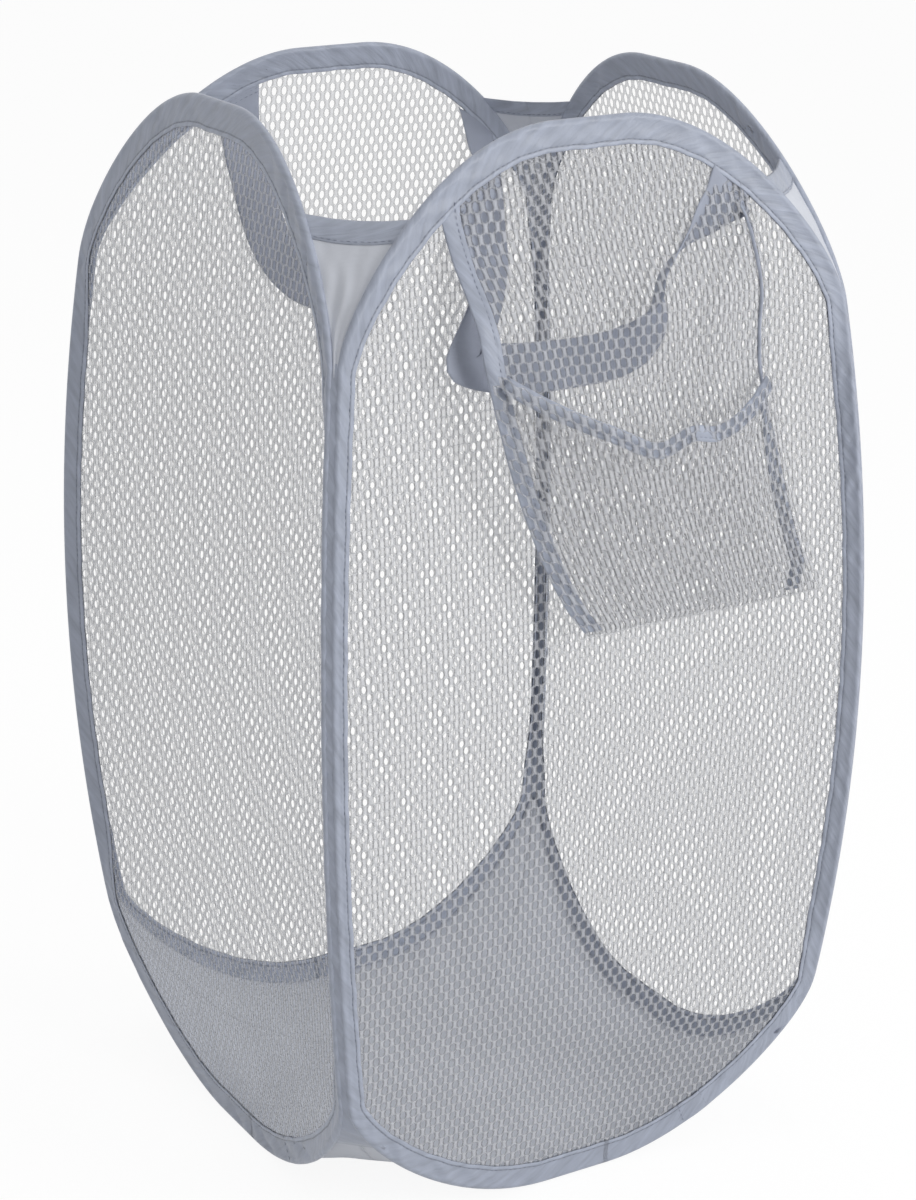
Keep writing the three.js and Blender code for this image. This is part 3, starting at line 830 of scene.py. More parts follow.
def arch(join, end, count):
    """Half of a hoop's arch, from where it leaves its neighbour to its straight stretch."""
    lean = -2 * BOW_DEPTH * (join - WAIST) / BOW_SPAN**2
    corner = np.array([side_half(join), join])
    along = unit(np.array([lean, 1])) * SHOULDER_SHARE * (end - join)
    places = [corner, corner + along, np.array([CROWN_SHARE * corner[0], end]), np.array([FLAT_HALF, end])]
    t = np.linspace(0, 1, count)[:, None]
    weights = [(1 - t) ** 3, 3 * t * (1 - t) ** 2, 3 * t**2 * (1 - t), t**3]
    return sum(weight * place for weight, place in zip(weights, places))


def lengths_along(line):
    """How far along a line each of its points is, measured in its first three columns."""
    return np.concatenate([[0], np.cumsum(np.linalg.norm(np.diff(line[:, :3], axis=0), axis=1))])


def even_steps(line, count, closed=False):
    """The line of points again in equal steps, and how far along it each of them is."""
    if closed:
        line = np.concatenate([line, line[:1]])
    lengths = lengths_along(line)
    stations = np.linspace(0, lengths[-1], count + 1 if closed else count)
    found = np.stack([np.interp(stations, lengths, line[:, axis]) for axis in range(line.shape[1])], -1)
    return (found[:-1], stations[:-1]) if closed else (found, stations)


def hoop_line():
    """The wire, from the middle of its foot and up its right side: places, directions inwards, lengths."""
    heights = np.linspace(JOIN_LOW, JOIN_HIGH, 160)[1:-1]
    side = np.stack([side_half(heights), heights], -1)
    half = np.concatenate([arch(JOIN_LOW, TUBE, 120)[::-1], side, arch(JOIN_HIGH, HEIGHT - TUBE, 120)])
    line = np.concatenate([half, half[::-1] * (-1, 1)])
    places, stations = even_steps(line, HOOP_STEPS, closed=True)
    forward = unit(np.roll(places, -1, 0) - np.roll(places, 1, 0))
    return places, np.stack([-forward[:, 1], forward[:, 0]], -1), stations


def arch_half(height):
    """Half of a hoop's width at a height."""
    places = hoop_line()[0]
    half = places[places[:, 0] >= 0]
    order = np.argsort(half[:, 1])
    return np.interp(height, half[order, 1], half[order, 0])


# How far each hoop's folded tape reaches inwards of its wire: at its arches, and at its left and right side
# as seen from outside
ARCH_REACHES = {"front": 13.2 * MM, "right": 13.6 * MM, "back": 13.2 * MM, "left": 15 * MM}
SIDE_REACHES = {
    "front": (7 * MM, 9.4 * MM),
    "right": (6 * MM, 5.5 * MM),
    "back": (5.5 * MM, 5.5 * MM),
    "left": (9.4 * MM, 5.5 * MM),
}
SEAM_LEAN = math.radians(38)
LEAN_START = 85 * MM


def tape_reach(side, across):
    """How far a hoop's folded tape reaches inwards of its wire."""
    at_side = np.where(across < 0, *SIDE_REACHES[side])
    return mix(ARCH_REACHES[side], at_side, np.clip(np.abs(across / side_half(WAIST)), 0, 1) ** 3)


def seam_lean(side, across, height):
    """How far a hoop's tape turns inwards where it is sewn to its neighbour.

    The front hoop's left side stays flat.
    """
    begun = smooth_step((height - LEAN_START) / (65 * MM))
    ended = smooth_step((JOIN_HIGH + 10 * MM - height) / (70 * MM))
    turned = across > 0 if side == "front" else np.ones_like(across)
    return SEAM_LEAN * (begun * ended) * turned


def leaned(inward, out, lean):
    """Places of a tape's section as (inward, out), turned about its wire."""
    return inward * np.cos(lean) + out * np.sin(lean), out * np.cos(lean) - inward * np.sin(lean)


NET_INSET = 5.5 * MM  # from a panel's wire to the edge of its net, inside the tape


def net_depth(side, across, height):
    """How far inside its panel a net lies, because it is sewn into the leaning tapes."""
    half = arch_half(height)
    edges = []
    for sign in (-1, 1):
        lean = seam_lean(side, np.full_like(across, sign), height)
        from_wire = np.maximum(half - sign * across, 0)
        reach = tape_reach(side, np.full_like(across, sign * side_half(WAIST)))
        edges.append((reach * np.sin(lean), np.where(lean > 0, from_wire * np.tan(lean), 1.0)))
    share = np.clip(across / (2 * np.maximum(half, FLAT_HALF)) + 0.5, 0, 1)
    middle = mix(edges[0][0], edges[1][0], share)
    return np.minimum(middle, np.minimum(edges[0][1], edges[1][1]))


def edge_ease(across, height):
    """0 at the edge of a panel and 1 well inside it."""
    inside = np.minimum(arch_half(height) - np.abs(across), np.minimum(height, HEIGHT - height))
    return smooth_step((inside - 10 * MM) / (60 * MM))


HEM_LAP = 1.5 * MM  # how far a strap's or a tape's end goes in under the hem
HEM_OUT = 0.78 * MM  # half the thickness of the tape's sewn hem
LAP_PLACE = 64 * MM  # how far along the hoop the tape's two ends overlap, and half of how much
LAP_HALF = 7 * MM
STITCH_INSET = 2.6 * MM  # from the hem to its row of stitches
# The tape's fold round the wire, inwards and out in millimetres
TAPE_FOLD = ((-2.25, 0.45), (-2.0, 1.15), (-1.3, 1.85), (-0.3, 2.18), (0.8, 2.05), (1.9, 1.6))


def tape_section(reach, plump):
    """Half of the section of a folded tape as (inward, out), from its hem round to behind the wire."""
    hem = [
        (reach, HEM_OUT * 0.55),
        (reach - 0.25 * MM, HEM_OUT),
        (reach - 1.3 * MM, HEM_OUT * 1.08),
        (reach - STITCH_INSET + 0.5 * MM, HEM_OUT),
        (reach - STITCH_INSET, HEM_OUT * 0.8),
        (reach - STITCH_INSET - 0.5 * MM, HEM_OUT * 1.02),
        (reach - STITCH_INSET - 1.5 * MM, HEM_OUT * 1.25),
    ]
    slope = [((reach - STITCH_INSET - 1.5 * MM) * 0.6 + 0.8 * MM, 1.2 * plump * MM)]
    fold = [(inward * plump * MM, out * plump * MM) for inward, out in TAPE_FOLD[::-1]]
    return np.array(hem + slope + fold)


def make_sleeve(side):
    """The tape folded round one hoop's wire, with its puckers and the lap of its ends."""
    size = sizes()
    seed = 11 + SIDES.index(side)
    places, inwards, stations = hoop_line()
    reach = tape_reach(side, places[:, 0]) + 0.25 * MM * ripples(stations[:, None], (31 * MM, 17 * MM), seed)
    straight = smooth_step((np.abs(places[:, 0]) / side_half(WAIST) - 0.84) / 0.12)
    half = np.stack([tape_section(r, plump) for r, plump in zip(reach, mix(1.0, 0.74, straight))])
    inward, out = half[..., 0], half[..., 1]
    arch_share = smooth_step((np.abs(places[:, 1] - WAIST) - 170 * MM) / (60 * MM))
    depth = size.pucker * (0.6 + 0.4 * arch_share)[:, None]
    span = np.clip((inward + 1 * MM) / (reach[:, None] - STITCH_INSET + 1 * MM), 0, 1)
    loose = np.sin(math.pi * span) ** 0.8 * (span < 1)
    lap = smooth_step(1.5 - np.abs(stations - LAP_PLACE) / LAP_HALF)[:, None] * size.tape_thickness
    where = np.stack([np.broadcast_to(stations[:, None], inward.shape), inward * 1.6], -1)
    slant = (stations[:, None] + 1.5 * inward)[..., None]
    gathered = np.clip(0.9 + ripples(stations[:, None], (320 * MM, 190 * MM), seed + 30), 0.3, 1.8)
    gathers = 0.16 * MM * ripples(stations[:, None], (6.1 * MM, 4.3 * MM), seed + 60)[:, None]
    near_seam = np.exp(-(((inward - reach[:, None] + STITCH_INSET) / (2.2 * MM)) ** 2))
    faces = []
    for face in (1, -1):
        folds = 0.6 * ripples(where, (23 * MM, 15 * MM, 37 * MM), seed * 7 + face)
        slanted = ripples(slant, (21 * MM, 13 * MM, 34 * MM), seed * 5 + face)
        folds = folds + gathered[:, None] * slanted
        lift = depth * loose * folds + gathers * near_seam + lap * (out > 0.5 * MM)
        faces.append(np.stack([inward, face * (out + lift)], -1))
    outer = np.concatenate([faces[0], faces[1][:, ::-1]], 1)
    before, after = np.roll(outer, 1, 1), np.roll(outer, -1, 1)
    tangent = after - before
    tangent[:, 0], tangent[:, -1] = outer[:, 1] - outer[:, 0], outer[:, -1] - outer[:, -2]
    turned = unit(np.stack([-tangent[..., 1], tangent[..., 0]], -1))
    inner = outer + turned * size.tape_thickness
    outline = np.concatenate([outer, inner[:, ::-1]], 1)
    lengths = np.cumsum(np.linalg.norm(np.diff(outer, axis=1, prepend=outer[:, :1]), axis=2), 1)
    from_hem = np.minimum(lengths, lengths[:, -1:] - lengths)
    from_hem = np.concatenate([from_hem, from_hem[:, ::-1]], 1)
    lean = seam_lean(side, places[:, :1], places[:, 1:])
    outline = np.stack(leaned(outline[..., 0], outline[..., 1], lean), -1)
    across = places[:, :1] + outline[..., 0] * inwards[:, :1]
    height = places[:, 1:] + outline[..., 0] * inwards[:, 1:]
    sections = on_panel(side, across, outline[..., 1], height)
    uv = np.stack([np.broadcast_to(stations[:, None], from_hem.shape), from_hem], -1)
    # Its material carries painted light and shade along the hem
    made = swept(side + "_tape_sleeve", sections, material_of("hemmed_tape"), closed=True, uv=uv)
    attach(made, side + "_panel")
    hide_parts(side + "_sleeve")
    return reach


def sleeve_stitches(side, reach):
    """The row of stitches that closes the tape over the edge of the net, seen on both of its faces."""
    places, inwards, _ = hoop_line()
    lean = seam_lean(side, places[:, 0], places[:, 1])
    rows = []
    for face in (1, -1):
        inward, out = leaned(reach - STITCH_INSET, face * (HEM_OUT * 0.8 + sizes().thread / 4), lean)
        line = places + inward[:, None] * inwards
        rows.append(on_panel(side, line[:, 0], out, line[:, 1]))
    lap_inwards = np.linspace(1.5 * MM, reach[0] - 1 * MM, 12)
    for lap_place in (LAP_PLACE - LAP_HALF, LAP_PLACE + LAP_HALF):
        start = int(lap_place / (HOOP_LENGTH / len(places)))
        across = places[start, 0] + lap_inwards * inwards[start, 0]
        height = places[start, 1] + lap_inwards * inwards[start, 1]
        out = 1.9 * MM - 0.9 * MM * smooth_step(lap_inwards / reach[0])
        rows.append(on_panel(side, across, out, height))
    made = join(
        side + "_sleeve_stitches",
        [sew(side + " hem stitches", rows[:2], closed=True), sew(side + " lap stitches", rows[2:])],
    )
    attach(made, side + "_panel")


class HAMPER_OT_wires(bpy.types.Operator):
    """Finish the hoop wires and their crimps as drawn spring steel"""

    bl_idname = "hamper.wires"
    bl_label = "Wires"

    def execute(self, context):
        for side in SIDES:
            for node in (side + "_hoop_wire", side + "_wire_crimp"):
                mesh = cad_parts[node].data
                mesh.materials.clear()
                mesh.materials.append(material_of("steel"))
        return {"FINISHED"}


class HAMPER_OT_sleeves(bpy.types.Operator):
    """Make the tape sleeves round the hoops, with their stitches"""

    bl_idname = "hamper.sleeves"
    bl_label = "Tape sleeves"

    def execute(self, context):
        for side in SIDES:
            sleeve_stitches(side, make_sleeve(side))
        return {"FINISHED"}


class HAMPER_OT_panel_nets(bpy.types.Operator):
    """Make the knitted net of each panel"""

    bl_idname = "hamper.panel_nets"
    bl_label = "Panel nets"

    def execute(self, context):
        places, inwards, _ = hoop_line()
        edge = places + NET_INSET * inwards
        middle = HEIGHT / 2
        points, faces, in_cell = flat_net("panel net", edge - (0, middle))
        for side in SIDES:
            across, up = points[:, 0], points[:, 1] + middle
            billow = 1.2 * MM * ripples(points[:, :2], (210 * MM, 140 * MM), 5 + SIDES.index(side))
            out = points[:, 2] + billow * edge_ease(across, up) - net_depth(side, across, up)
            made = net_object(side + "_panel_net", on_panel(side, across, out, up), faces, in_cell)
            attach(made, side + "_panel")
            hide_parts(side + "_net")
        return {"FINISHED"}


# Corners

SEAM_LOW = 58 * MM  # where a corner's seam begins
SEAM_WIDTH = 6 * MM  # about, for the pattern of its weave


def corner_axes(corner):
    """Directions outwards and alongside at a corner, from the first of its two panels to the second."""
    turn = CORNERS.index(corner) * math.pi / 2 - math.pi / 4
    outwards = np.array([math.cos(turn), math.sin(turn), 0])
    return outwards, np.array([-outwards[1], outwards[0], 0])


def corner_sides(corner):
    """The two panels that meet at a corner, the second one a quarter turn on."""
    first = CORNERS.index(corner)
    return SIDES[first], SIDES[(first + 1) % 4]


# Each corner whose cloth is in one piece, with the two bodies beside it. The back right corner isn't among
# them, because its cloth is in two halves.
JOINED = {
    "front_right": ("front_panel", "right_panel"),
    "back_left": ("back_panel", "left_panel"),
    "front_left": ("left_panel", "front_panel"),
}


def corner_point(corner, share, height, out=0.0):
    """Places between the wires of two hoops: share 0 is at the first panel's wire, 1 at the second's."""
    share, height, out = np.broadcast_arrays(share, height, out)
    outwards, alongside = corner_axes(corner)
    far, half = sheet_distance(height), arch_half(height)
    reach, width = (far + half) / math.sqrt(2), math.sqrt(2) * (far - half)
    place = (reach + out)[..., None] * outwards + ((share - 0.5) * width)[..., None] * alongside
    place[..., 1] += MIDDLE_Y
    place[..., 2] = height
    return place


def across_corner(piece, corner, height=(JOIN_LOW + JOIN_HIGH) / 2):
    """Bakes a piece's transform into its mesh, or lets it ride on the back panel where the corner is open."""
    if corner not in JOINED:
        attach(piece, "back_panel")
        return
    Vector(corner_point(corner, 0.0, height))
    Vector(corner_point(corner, 1.0, height))
    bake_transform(piece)


class HAMPER_OT_corner_seams(bpy.types.Operator):
    """Make the seams that join neighbouring hoops down their sides"""

    bl_idname = "hamper.corner_seams"
    bl_label = "Corner seams"

    def execute(self, context):
        heights = np.linspace(SEAM_LOW, JOIN_HIGH + 6 * MM, 130)[:, None]
        shares = np.linspace(-0.1, 1.1, 15)[None, :]
        heights, shares = np.broadcast_arrays(heights, shares)
        dip = 0.5 * MM * ripples(heights[..., None], (23 * MM, 11 * MM), 3)
        uv = np.stack([heights, shares * SEAM_WIDTH], -1)
        for corner in CORNERS:
            front = corner_point(corner, shares, heights, 1.2 * MM + dip)
            back = corner_point(corner, shares, heights, -0.6 * MM + dip)
            seam = two_faced(corner + "_corner_seam", front, back, material_of("tape"), uv)
            across_corner(seam, corner)
        return {"FINISHED"}


GUSSET_TOP = 559 * MM
GUSSET_TIP = 488 * MM
GUSSET_SAG = 2 * MM
GUSSET_WIDTH = 40 * MM  # about, for the pattern of its waves
GUSSET_COLUMNS = 61
GUSSET_BEND_LEVEL = 520 * MM  # where the middle of its fold is measured
CLOTH_THICKNESS = 0.5 * MM
# Half of the band's section: how far up and how far out, in millimetres, and how far down its stitches are
BAND_RING = ((0.15, 0.5), (0, 0.75), (-2.4, 0.95), (-5, 1.0), (-8, 0.9), (-9.7, 0.8), (-10, 0.55))
BAND_STITCH_DROP = 8.6 * MM


def gusset_point(corner, share, height, out=0.0):
    """The hanging cloth between two arches, its upper edge lowest in the middle."""
    fall = smooth_step((height - GUSSET_TIP) / (GUSSET_TOP - GUSSET_TIP))
    sag = GUSSET_SAG * fall * (1 - (2 * share - 1) ** 2)
    return corner_point(corner, share, height - sag, out)


def band_wave(corner, shares):
    """The gentle waves that a gusset's cloth and its band have in common."""
    along = shares[..., None] * GUSSET_WIDTH
    return 0.25 * MM * ripples(along, (17 * MM, 9 * MM), 21 + CORNERS.index(corner))


def gusset_piece(corner, low_share, high_share):
    """The cloth of a gusset between two shares of its width."""
    shares = np.linspace(low_share, high_share, GUSSET_COLUMNS)[None, :]
    heights = np.linspace(GUSSET_TIP, GUSSET_TOP - 1 * MM, 34)[:, None]
    shares, heights = np.broadcast_arrays(shares, heights)
    width = math.sqrt(2) * (sheet_distance(heights) - arch_half(heights))
    where = np.stack([(shares - 0.5) * width, heights], -1)
    fan = np.sin((shares * 9 + ripples(where, (40 * MM,), 3 + CORNERS.index(corner))) * 2) * 0.5 * MM
    out = 0.7 * MM * ripples(where, (34 * MM, 21 * MM, 13 * MM), 8 + CORNERS.index(corner)) + fan
    out *= np.sin(math.pi * np.clip(shares, 0, 1)) ** 0.5
    out = mix(out, band_wave(corner, shares), smooth_step((heights - GUSSET_TOP + 24 * MM) / (13 * MM)))
    front = gusset_point(corner, shares, heights, out + CLOTH_THICKNESS / 2)
    back = gusset_point(corner, shares, heights, out - CLOTH_THICKNESS / 2)
    return front, back, where


def band_sections(corner, low_share, high_share):
    """Sections of the tape folded over a gusset's upper edge."""
    shares = np.linspace(low_share, high_share, GUSSET_COLUMNS)
    half = np.array(BAND_RING)
    rise, out = np.concatenate([half, half[::-1] * (1, -1)]).T * MM
    wave = band_wave(corner, shares)
    top = GUSSET_TOP + 1 * MM
    rows = [
        gusset_point(corner, shares, top - BAND_STITCH_DROP, face * 1.0 * MM + wave) for face in (1, -1)
    ]
    shares = shares[:, None]
    sections = gusset_point(corner, shares, top + rise[None, :], out[None, :] + wave[:, None])
    uv = np.stack(np.broadcast_arrays(shares * GUSSET_WIDTH, np.cumsum(np.abs(rise))[None, :]), -1)
    return sections, uv, rows


class HAMPER_OT_gussets(bpy.types.Operator):
    """Make the cloth gussets at the corners and the tape that binds them"""

    bl_idname = "hamper.gussets"
    bl_label = "Corner gussets"

    def execute(self, context):
        for corner in CORNERS:
            first, second = corner_sides(corner)
            parts = [("", -0.03, 1.03, None)]
            if corner not in JOINED:
                parts = [
                    ("_" + second + "_half", 0.49, 1.03, second),
                    ("_" + first + "_half", -0.03, 0.51, first),
                ]
            for suffix, low, high, owner in parts:
                front, back, where = gusset_piece(corner, low, high)
                cloth = two_faced(corner + "_gusset_cloth" + suffix, front, back, material_of("cloth"), where)
                sections, uv, rows = band_sections(corner, low, high)
                band = swept(corner + "_gusset_band" + suffix, sections, material_of("tape"), uv=uv)
                thread = sew(corner + "_gusset_stitches" + suffix, rows)
                for piece, slot in ((cloth, "woven_cloth"), (band, "edging_tape"), (thread, "edging_tape")):
                    if owner is None:
                        across_corner(piece, corner, GUSSET_BEND_LEVEL)
                    else:
                        fold_to_panel(piece, owner, (GUSSET_TIP + GUSSET_TOP) / 2)
                if owner in (None, first):
                    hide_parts(corner + "_gusset")
                    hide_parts(corner + "_gusset_binding")
        return {"FINISHED"}


def fold_to_panel(piece, side, level):
    """Lets a piece ride on a panel, in a mesh of its own. The level is not used."""
    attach(piece, side + "_panel")
    anchor = on_panel(side, 0.0, 0.0, level)
    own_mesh(piece)


# The bottom


def floor_height(share):
    """The bottom's height at a share of the way to a corner: its corners rise with the low arches."""
    line = arch(JOIN_LOW, TUBE, 120)[::-1]
    return np.interp(share, line[:, 0] / sheet_distance(line[:, 1]), line[:, 1])


FLOOR_CORNER_SHARE = 0.985  # where a quarter's outer edge begins to be cut at its corners
FLOOR_INSET = 2.0 * MM
FLOOR_FOLD_LEVEL = 32 * MM  # the height of the panel that a quarter folds against


def floor_point(side, across_share, out_share, lift=0.0):
    """A place on the bottom cloth, in the quarter that lies at one side of the hamper."""
    cut = 1 + FLOOR_CORNER_SHARE - np.maximum(FLOOR_CORNER_SHARE, out_share)
    across = across_share * cut
    height = floor_height(np.abs(out_share * across))
    reach = sheet_distance(height) - FLOOR_INSET
    return turned_round(side, across * reach, -out_share * reach, height + lift)


class HAMPER_OT_bottom(bpy.types.Operator):
    """Make the cloth bottom in its four folding quarters"""

    bl_idname = "hamper.bottom"
    bl_label = "Bottom cloth"

    def execute(self, context):
        out_shares = np.linspace(0.004, 1, 60)[:, None]
        along = np.linspace(-1, 1, 81)[None, :]
        for side in SIDES:
            across_shares = along * out_shares
            where = floor_point(side, across_shares, out_shares)[..., :2]
            edge = np.clip((1 - out_shares) * 8, 0, 1)
            lift = (0.5 * MM + 0.9 * MM * (1 + ripples(where, (90 * MM, 57 * MM, 31 * MM), 4))) * edge
            front = floor_point(side, across_shares, out_shares, lift + CLOTH_THICKNESS)
            back = floor_point(side, across_shares, out_shares, lift)
            cloth = two_faced(side + "_bottom_quarter", front, back, material_of("cloth"), where)
            fold_to_panel(cloth, side, FLOOR_FOLD_LEVEL)
            if side == "front":
                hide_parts("bottom_cloth")
        return {"FINISHED"}


# Handles


def through(points, count):
    """A smooth line through the points, evenly stepped, in as many columns as the points have."""
    points = np.asarray(points, float)
    gaps = np.linalg.norm(np.diff(points[:, :3], axis=0), axis=1) ** 0.5
    knots = np.concatenate([[0], np.cumsum(gaps)])
    slopes = np.gradient(points, knots, axis=0)
    fine = np.linspace(0, knots[-1], count * 6)
    index = np.clip(np.searchsorted(knots, fine, side="right") - 1, 0, len(gaps) - 1)
    span = (knots[index + 1] - knots[index])[:, None]
    t = ((fine - knots[index])[:, None]) / span
    line = (
        (2 * t**3 - 3 * t**2 + 1) * points[index]
        + (t**3 - 2 * t**2 + t) * span * slopes[index]
        + (-2 * t**3 + 3 * t**2) * points[index + 1]
        + (t**3 - t**2) * span * slopes[index + 1]
    )
    return even_steps(line, count)


def strap(name, side, places, seed):
    """A handle along (across, out, height, turn, cup, width share) places, thin at its sewn ends."""
    size = sizes()
    line, stations = through(places, 190)
    middle, turn, cup = line[:, :3], line[:, 3:4], np.maximum(line[:, 4:5], 0.02)
    run = unit(np.gradient(middle * (1, 0, 1), axis=0))
    flat = unit(np.cross(OUTWARD, run))
    wide = flat * np.cos(turn) + OUTWARD * np.sin(turn)
    thick = unit(np.cross(run, wide))
    half, t = size.strap_width / 2 * line[:, 5:6], size.strap_thickness / 2
    from_end = np.minimum(stations, stations[-1] - stations)[:, None]
    share = np.concatenate([np.linspace(-1, 1, 21), np.linspace(1, -1, 21)])
    face = np.repeat((1.0, -1.0), 21) * (0.35 + 0.65 * (1 - np.abs(share) ** 8)) * t
    face = face * mix(0.25, 1.0, smooth_step((from_end - 1 * MM) / (9 * MM)))
    where = np.stack(np.broadcast_arrays(stations[:, None], share[None, :] * half), -1)
    waves = 0.45 * MM * ripples(where, (48 * MM, 27 * MM, 90 * MM), seed)
    waves = waves * np.minimum(1, from_end / (30 * MM))
    angle = cup * share
    across = half * np.sin(angle) / cup - np.sin(angle) * face
    out = half * (1 - np.cos(angle)) / cup + np.cos(angle) * face + waves
    body = middle[:, None, :] + across[..., None] * wide[:, None, :] + out[..., None] * thick[:, None, :]
    at_hem = 1 - smooth_step(from_end / (20 * MM))
    body[..., 2] += (hem_height(side, body[..., 0]) - hem_height(side, middle[:, :1])) * at_hem
    points = on_panel(side, body[..., 0], body[..., 1], body[..., 2])
    return swept(name, points, material_of("strap"), uv=where)


# Places along each strap as it hangs: across, out and height in millimetres, its turn on edge and its cup in
# radians, and the share of its width. The heights of its two ends are measured at the hem of the sleeve.
FRONT_STRAP_PLACES = (
    (-66, -0.2, 0, 0, 0.02, 1), (-66, 0, 560, 0, 0.03, 1), (-66, 0.8, 549, 0.1, 0.1, 1),
    (-67.5, 2.8, 535, 0.2, 0.4, 1), (-73, 6, 518, 0.3, 0.4, 1), (-80, 8.5, 503, 0.25, 0.1, 1),
    (-83.5, 9.5, 495.5, 0.2, 0.04, 1.1), (-84, 10, 492, 0.2, 0.04, 1.3),
    (-81.5, 10.5, 488.5, 0.2, 0.04, 0.95), (-75, 10.5, 486.5, 0.2, 0.1, 0.92),
    (-64, 9.5, 484.5, 0.15, 0.1, 1), (-48, 8.5, 483, 0.1, 0.1, 1),
    (-22, 7, 482, 0, 0.1, 1), (0, 7.5, 483.5, 0, 0.2, 1), (14, 9, 489, -0.05, 0.3, 1),
    (22, 10.5, 500, -0.4, 0.6, 1), (25, 11, 511, -1.0, 0.8, 0.9), (29, 10.5, 520, -1.15, 0.6, 0.6),
    (37, 8.3, 527, -1.1, 0.4, 0.45), (49, 5, 534.5, -0.8, 0.2, 0.5), (63, 2.6, 543, -0.25, 0.1, 0.8),
    (76, 0.6, 551, -0.1, 0.04, 1), (86, -0.2, 0, 0, 0.02, 1),
)  # fmt: skip
BACK_STRAP_PLACES = (
    (58, -0.3, 0, 0, 0.02, 1), (57, -1.2, 560, 0, 0.02, 1), (54, -2, 544, 0, 0.05, 1),
    (49, -3.2, 526, 0, 0.1, 1), (44, -4.8, 508, -0.1, 0.1, 1), (36, -6.5, 486, -0.1, 0.1, 1),
    (25, -7.5, 469, -0.1, 0.1, 1),
    (8, -8, 455, -0.1, 0.1, 1), (-15, -8.5, 449, -0.1, 0.1, 1), (-40, -9, 459, -0.2, 0.1, 1),
    (-63, -9.5, 480, -0.45, 0.1, 1), (-85, -10.5, 498, -0.7, 0.1, 1), (-101, -10, 512, -0.75, 0.1, 1),
    (-106, -8, 524, -0.6, 0.1, 1), (-104.5, -4.5, 536, -0.3, 0.1, 0.95), (-101, -0.3, 0, 0, 0.02, 0.9),
)  # fmt: skip


def hem_height(side, across):
    """The height of the sleeve's inner edge, at a place across the upper arch."""
    places, inwards, _ = hoop_line()
    edge = places + tape_reach(side, places[:, 0])[:, None] * inwards
    upper = edge[edge[:, 1] > JOIN_HIGH]
    order = np.argsort(upper[:, 0])
    return np.interp(across, upper[order, 0], upper[order, 1])


class HAMPER_OT_straps(bpy.types.Operator):
    """Make the two handles with their sewn ends"""

    bl_idname = "hamper.straps"
    bl_label = "Handles"

    def execute(self, context):
        self.finish_strap("front", FRONT_STRAP_PLACES, FRONT_HINGE, 1)
        self.finish_strap("back", BACK_STRAP_PLACES, BACK_HINGE, -1)
        return {"FINISHED"}

    def finish_strap(self, side, hung, hinge, face):
        places = np.array(hung) * (MM, MM, MM, 1, 1, 1)
        for end in (0, -1):
            places[end, 2] = hem_height(side, places[end, 0]) + HEM_LAP
        made = strap(side + "_handle", side, places, 31 + face)
        rows = []
        for middle, out in (places[0, :2], places[-1, :2]):
            across = np.linspace(middle - 11 * MM, middle + 11 * MM, 20)
            for drop in (1.5 * MM, 4 * MM):
                lift = face * sizes().strap_thickness * drop / (8 * MM)
                rows.append(on_panel(side, across, out + lift, hem_height(side, across) - drop))
        thread = sew(side + "_handle_stitches", rows)
        for piece in (made, thread):
            start = on_panel(side, 0.0, places[0, 1], hinge + 3 * MM)
            end = on_panel(side, 0.0, places[0, 1], hinge - 14 * MM)
            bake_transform(piece)
        ends = (side + "_strap_end_left", side + "_strap_end_right")
        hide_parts(side + "_handle_strap", *ends)


# The pocket

HEM_LAY = 0.2 * MM  # how far out of the panel the pocket's edge lies under the hem
# The pocket's two nets before they are drawn to its edges
BACK_NET_WIDTH = 168 * MM
FRONT_NET_WIDTH = 158 * MM
FRONT_NET_HEIGHT = 112 * MM
BINDING_THICKNESS = 1.7 * MM
BINDING_PUCKER = 0.35 * MM
RIGHT_TAPE_TURN = 0.95  # radians on edge
# Shares of the way down the pocket, and how many millimetres further right than a plain sweep its right edge
# hangs there
RIGHT_LEAN = ((0, 0.06, 0.15, 0.24, 0.35, 0.5, 0.7, 1), (7, 6, 1, -4, -8, -9, -6, 0))


def pocket_back(height):
    """How far out of the panel the pocket's back hangs: it stands off below the hinge and tucks in low."""
    fallen = FRONT_HINGE - height
    low = (fallen - TUCK_DROP) / (FRONT_HINGE - TUCK_DROP - POCKET_FLOOR)
    return POCKET_OUT + POCKET_STAND_OFF * smooth_step(fallen / STAND_OFF_DROP) - TUCK_IN * smooth_step(low)


def laid_back(across, height):
    """The pocket's back where it hangs, coming close to the sleeve at the hem that it is sewn to."""
    below = hem_height("front", across) - 0.5 * MM - height
    return mix(HEM_LAY, pocket_back(height), smooth_step(below / (18 * MM)))


def pocket_side(top, low, height):
    """An edge of the pocket, swept from its place at the hinge to its place at the floor."""
    share = np.clip((FRONT_HINGE - height) / (FRONT_HINGE - POCKET_FLOOR), 0, 1)
    return mix(top, low, share**SWEEP_POWER)


def pocket_left(height):
    return pocket_side(POCKET_TOP_LEFT, POCKET_LOW_LEFT, height)


def pocket_right(height):
    """The right edge hangs straighter than the left one before it swings out."""
    share = (FRONT_HINGE - height) / (FRONT_HINGE - POCKET_FLOOR)
    return pocket_side(POCKET_TOP_RIGHT, POCKET_LOW_RIGHT, height) + np.interp(share, *RIGHT_LEAN) * MM


def pocket_across(share, height):
    """A place between the pocket's left and right edge."""
    return mix(pocket_left(height), pocket_right(height), share)


def bulge_at(share):
    """1 in the middle of the pocket's width and 0 at its edges."""
    return np.clip(1 - (2 * share - 1) ** 2, 0, 1)


def mouth_height(share):
    """The pocket's mouth sags, with a kink towards its right."""
    kink = 4.5 * MM * (np.exp(-(((share - 0.57) / 0.07) ** 2)) - np.exp(-(((share - 0.41) / 0.08) ** 2)))
    return mix(MOUTH_LEFT, MOUTH_RIGHT, share) - MOUTH_SAG * bulge_at(share) + kink


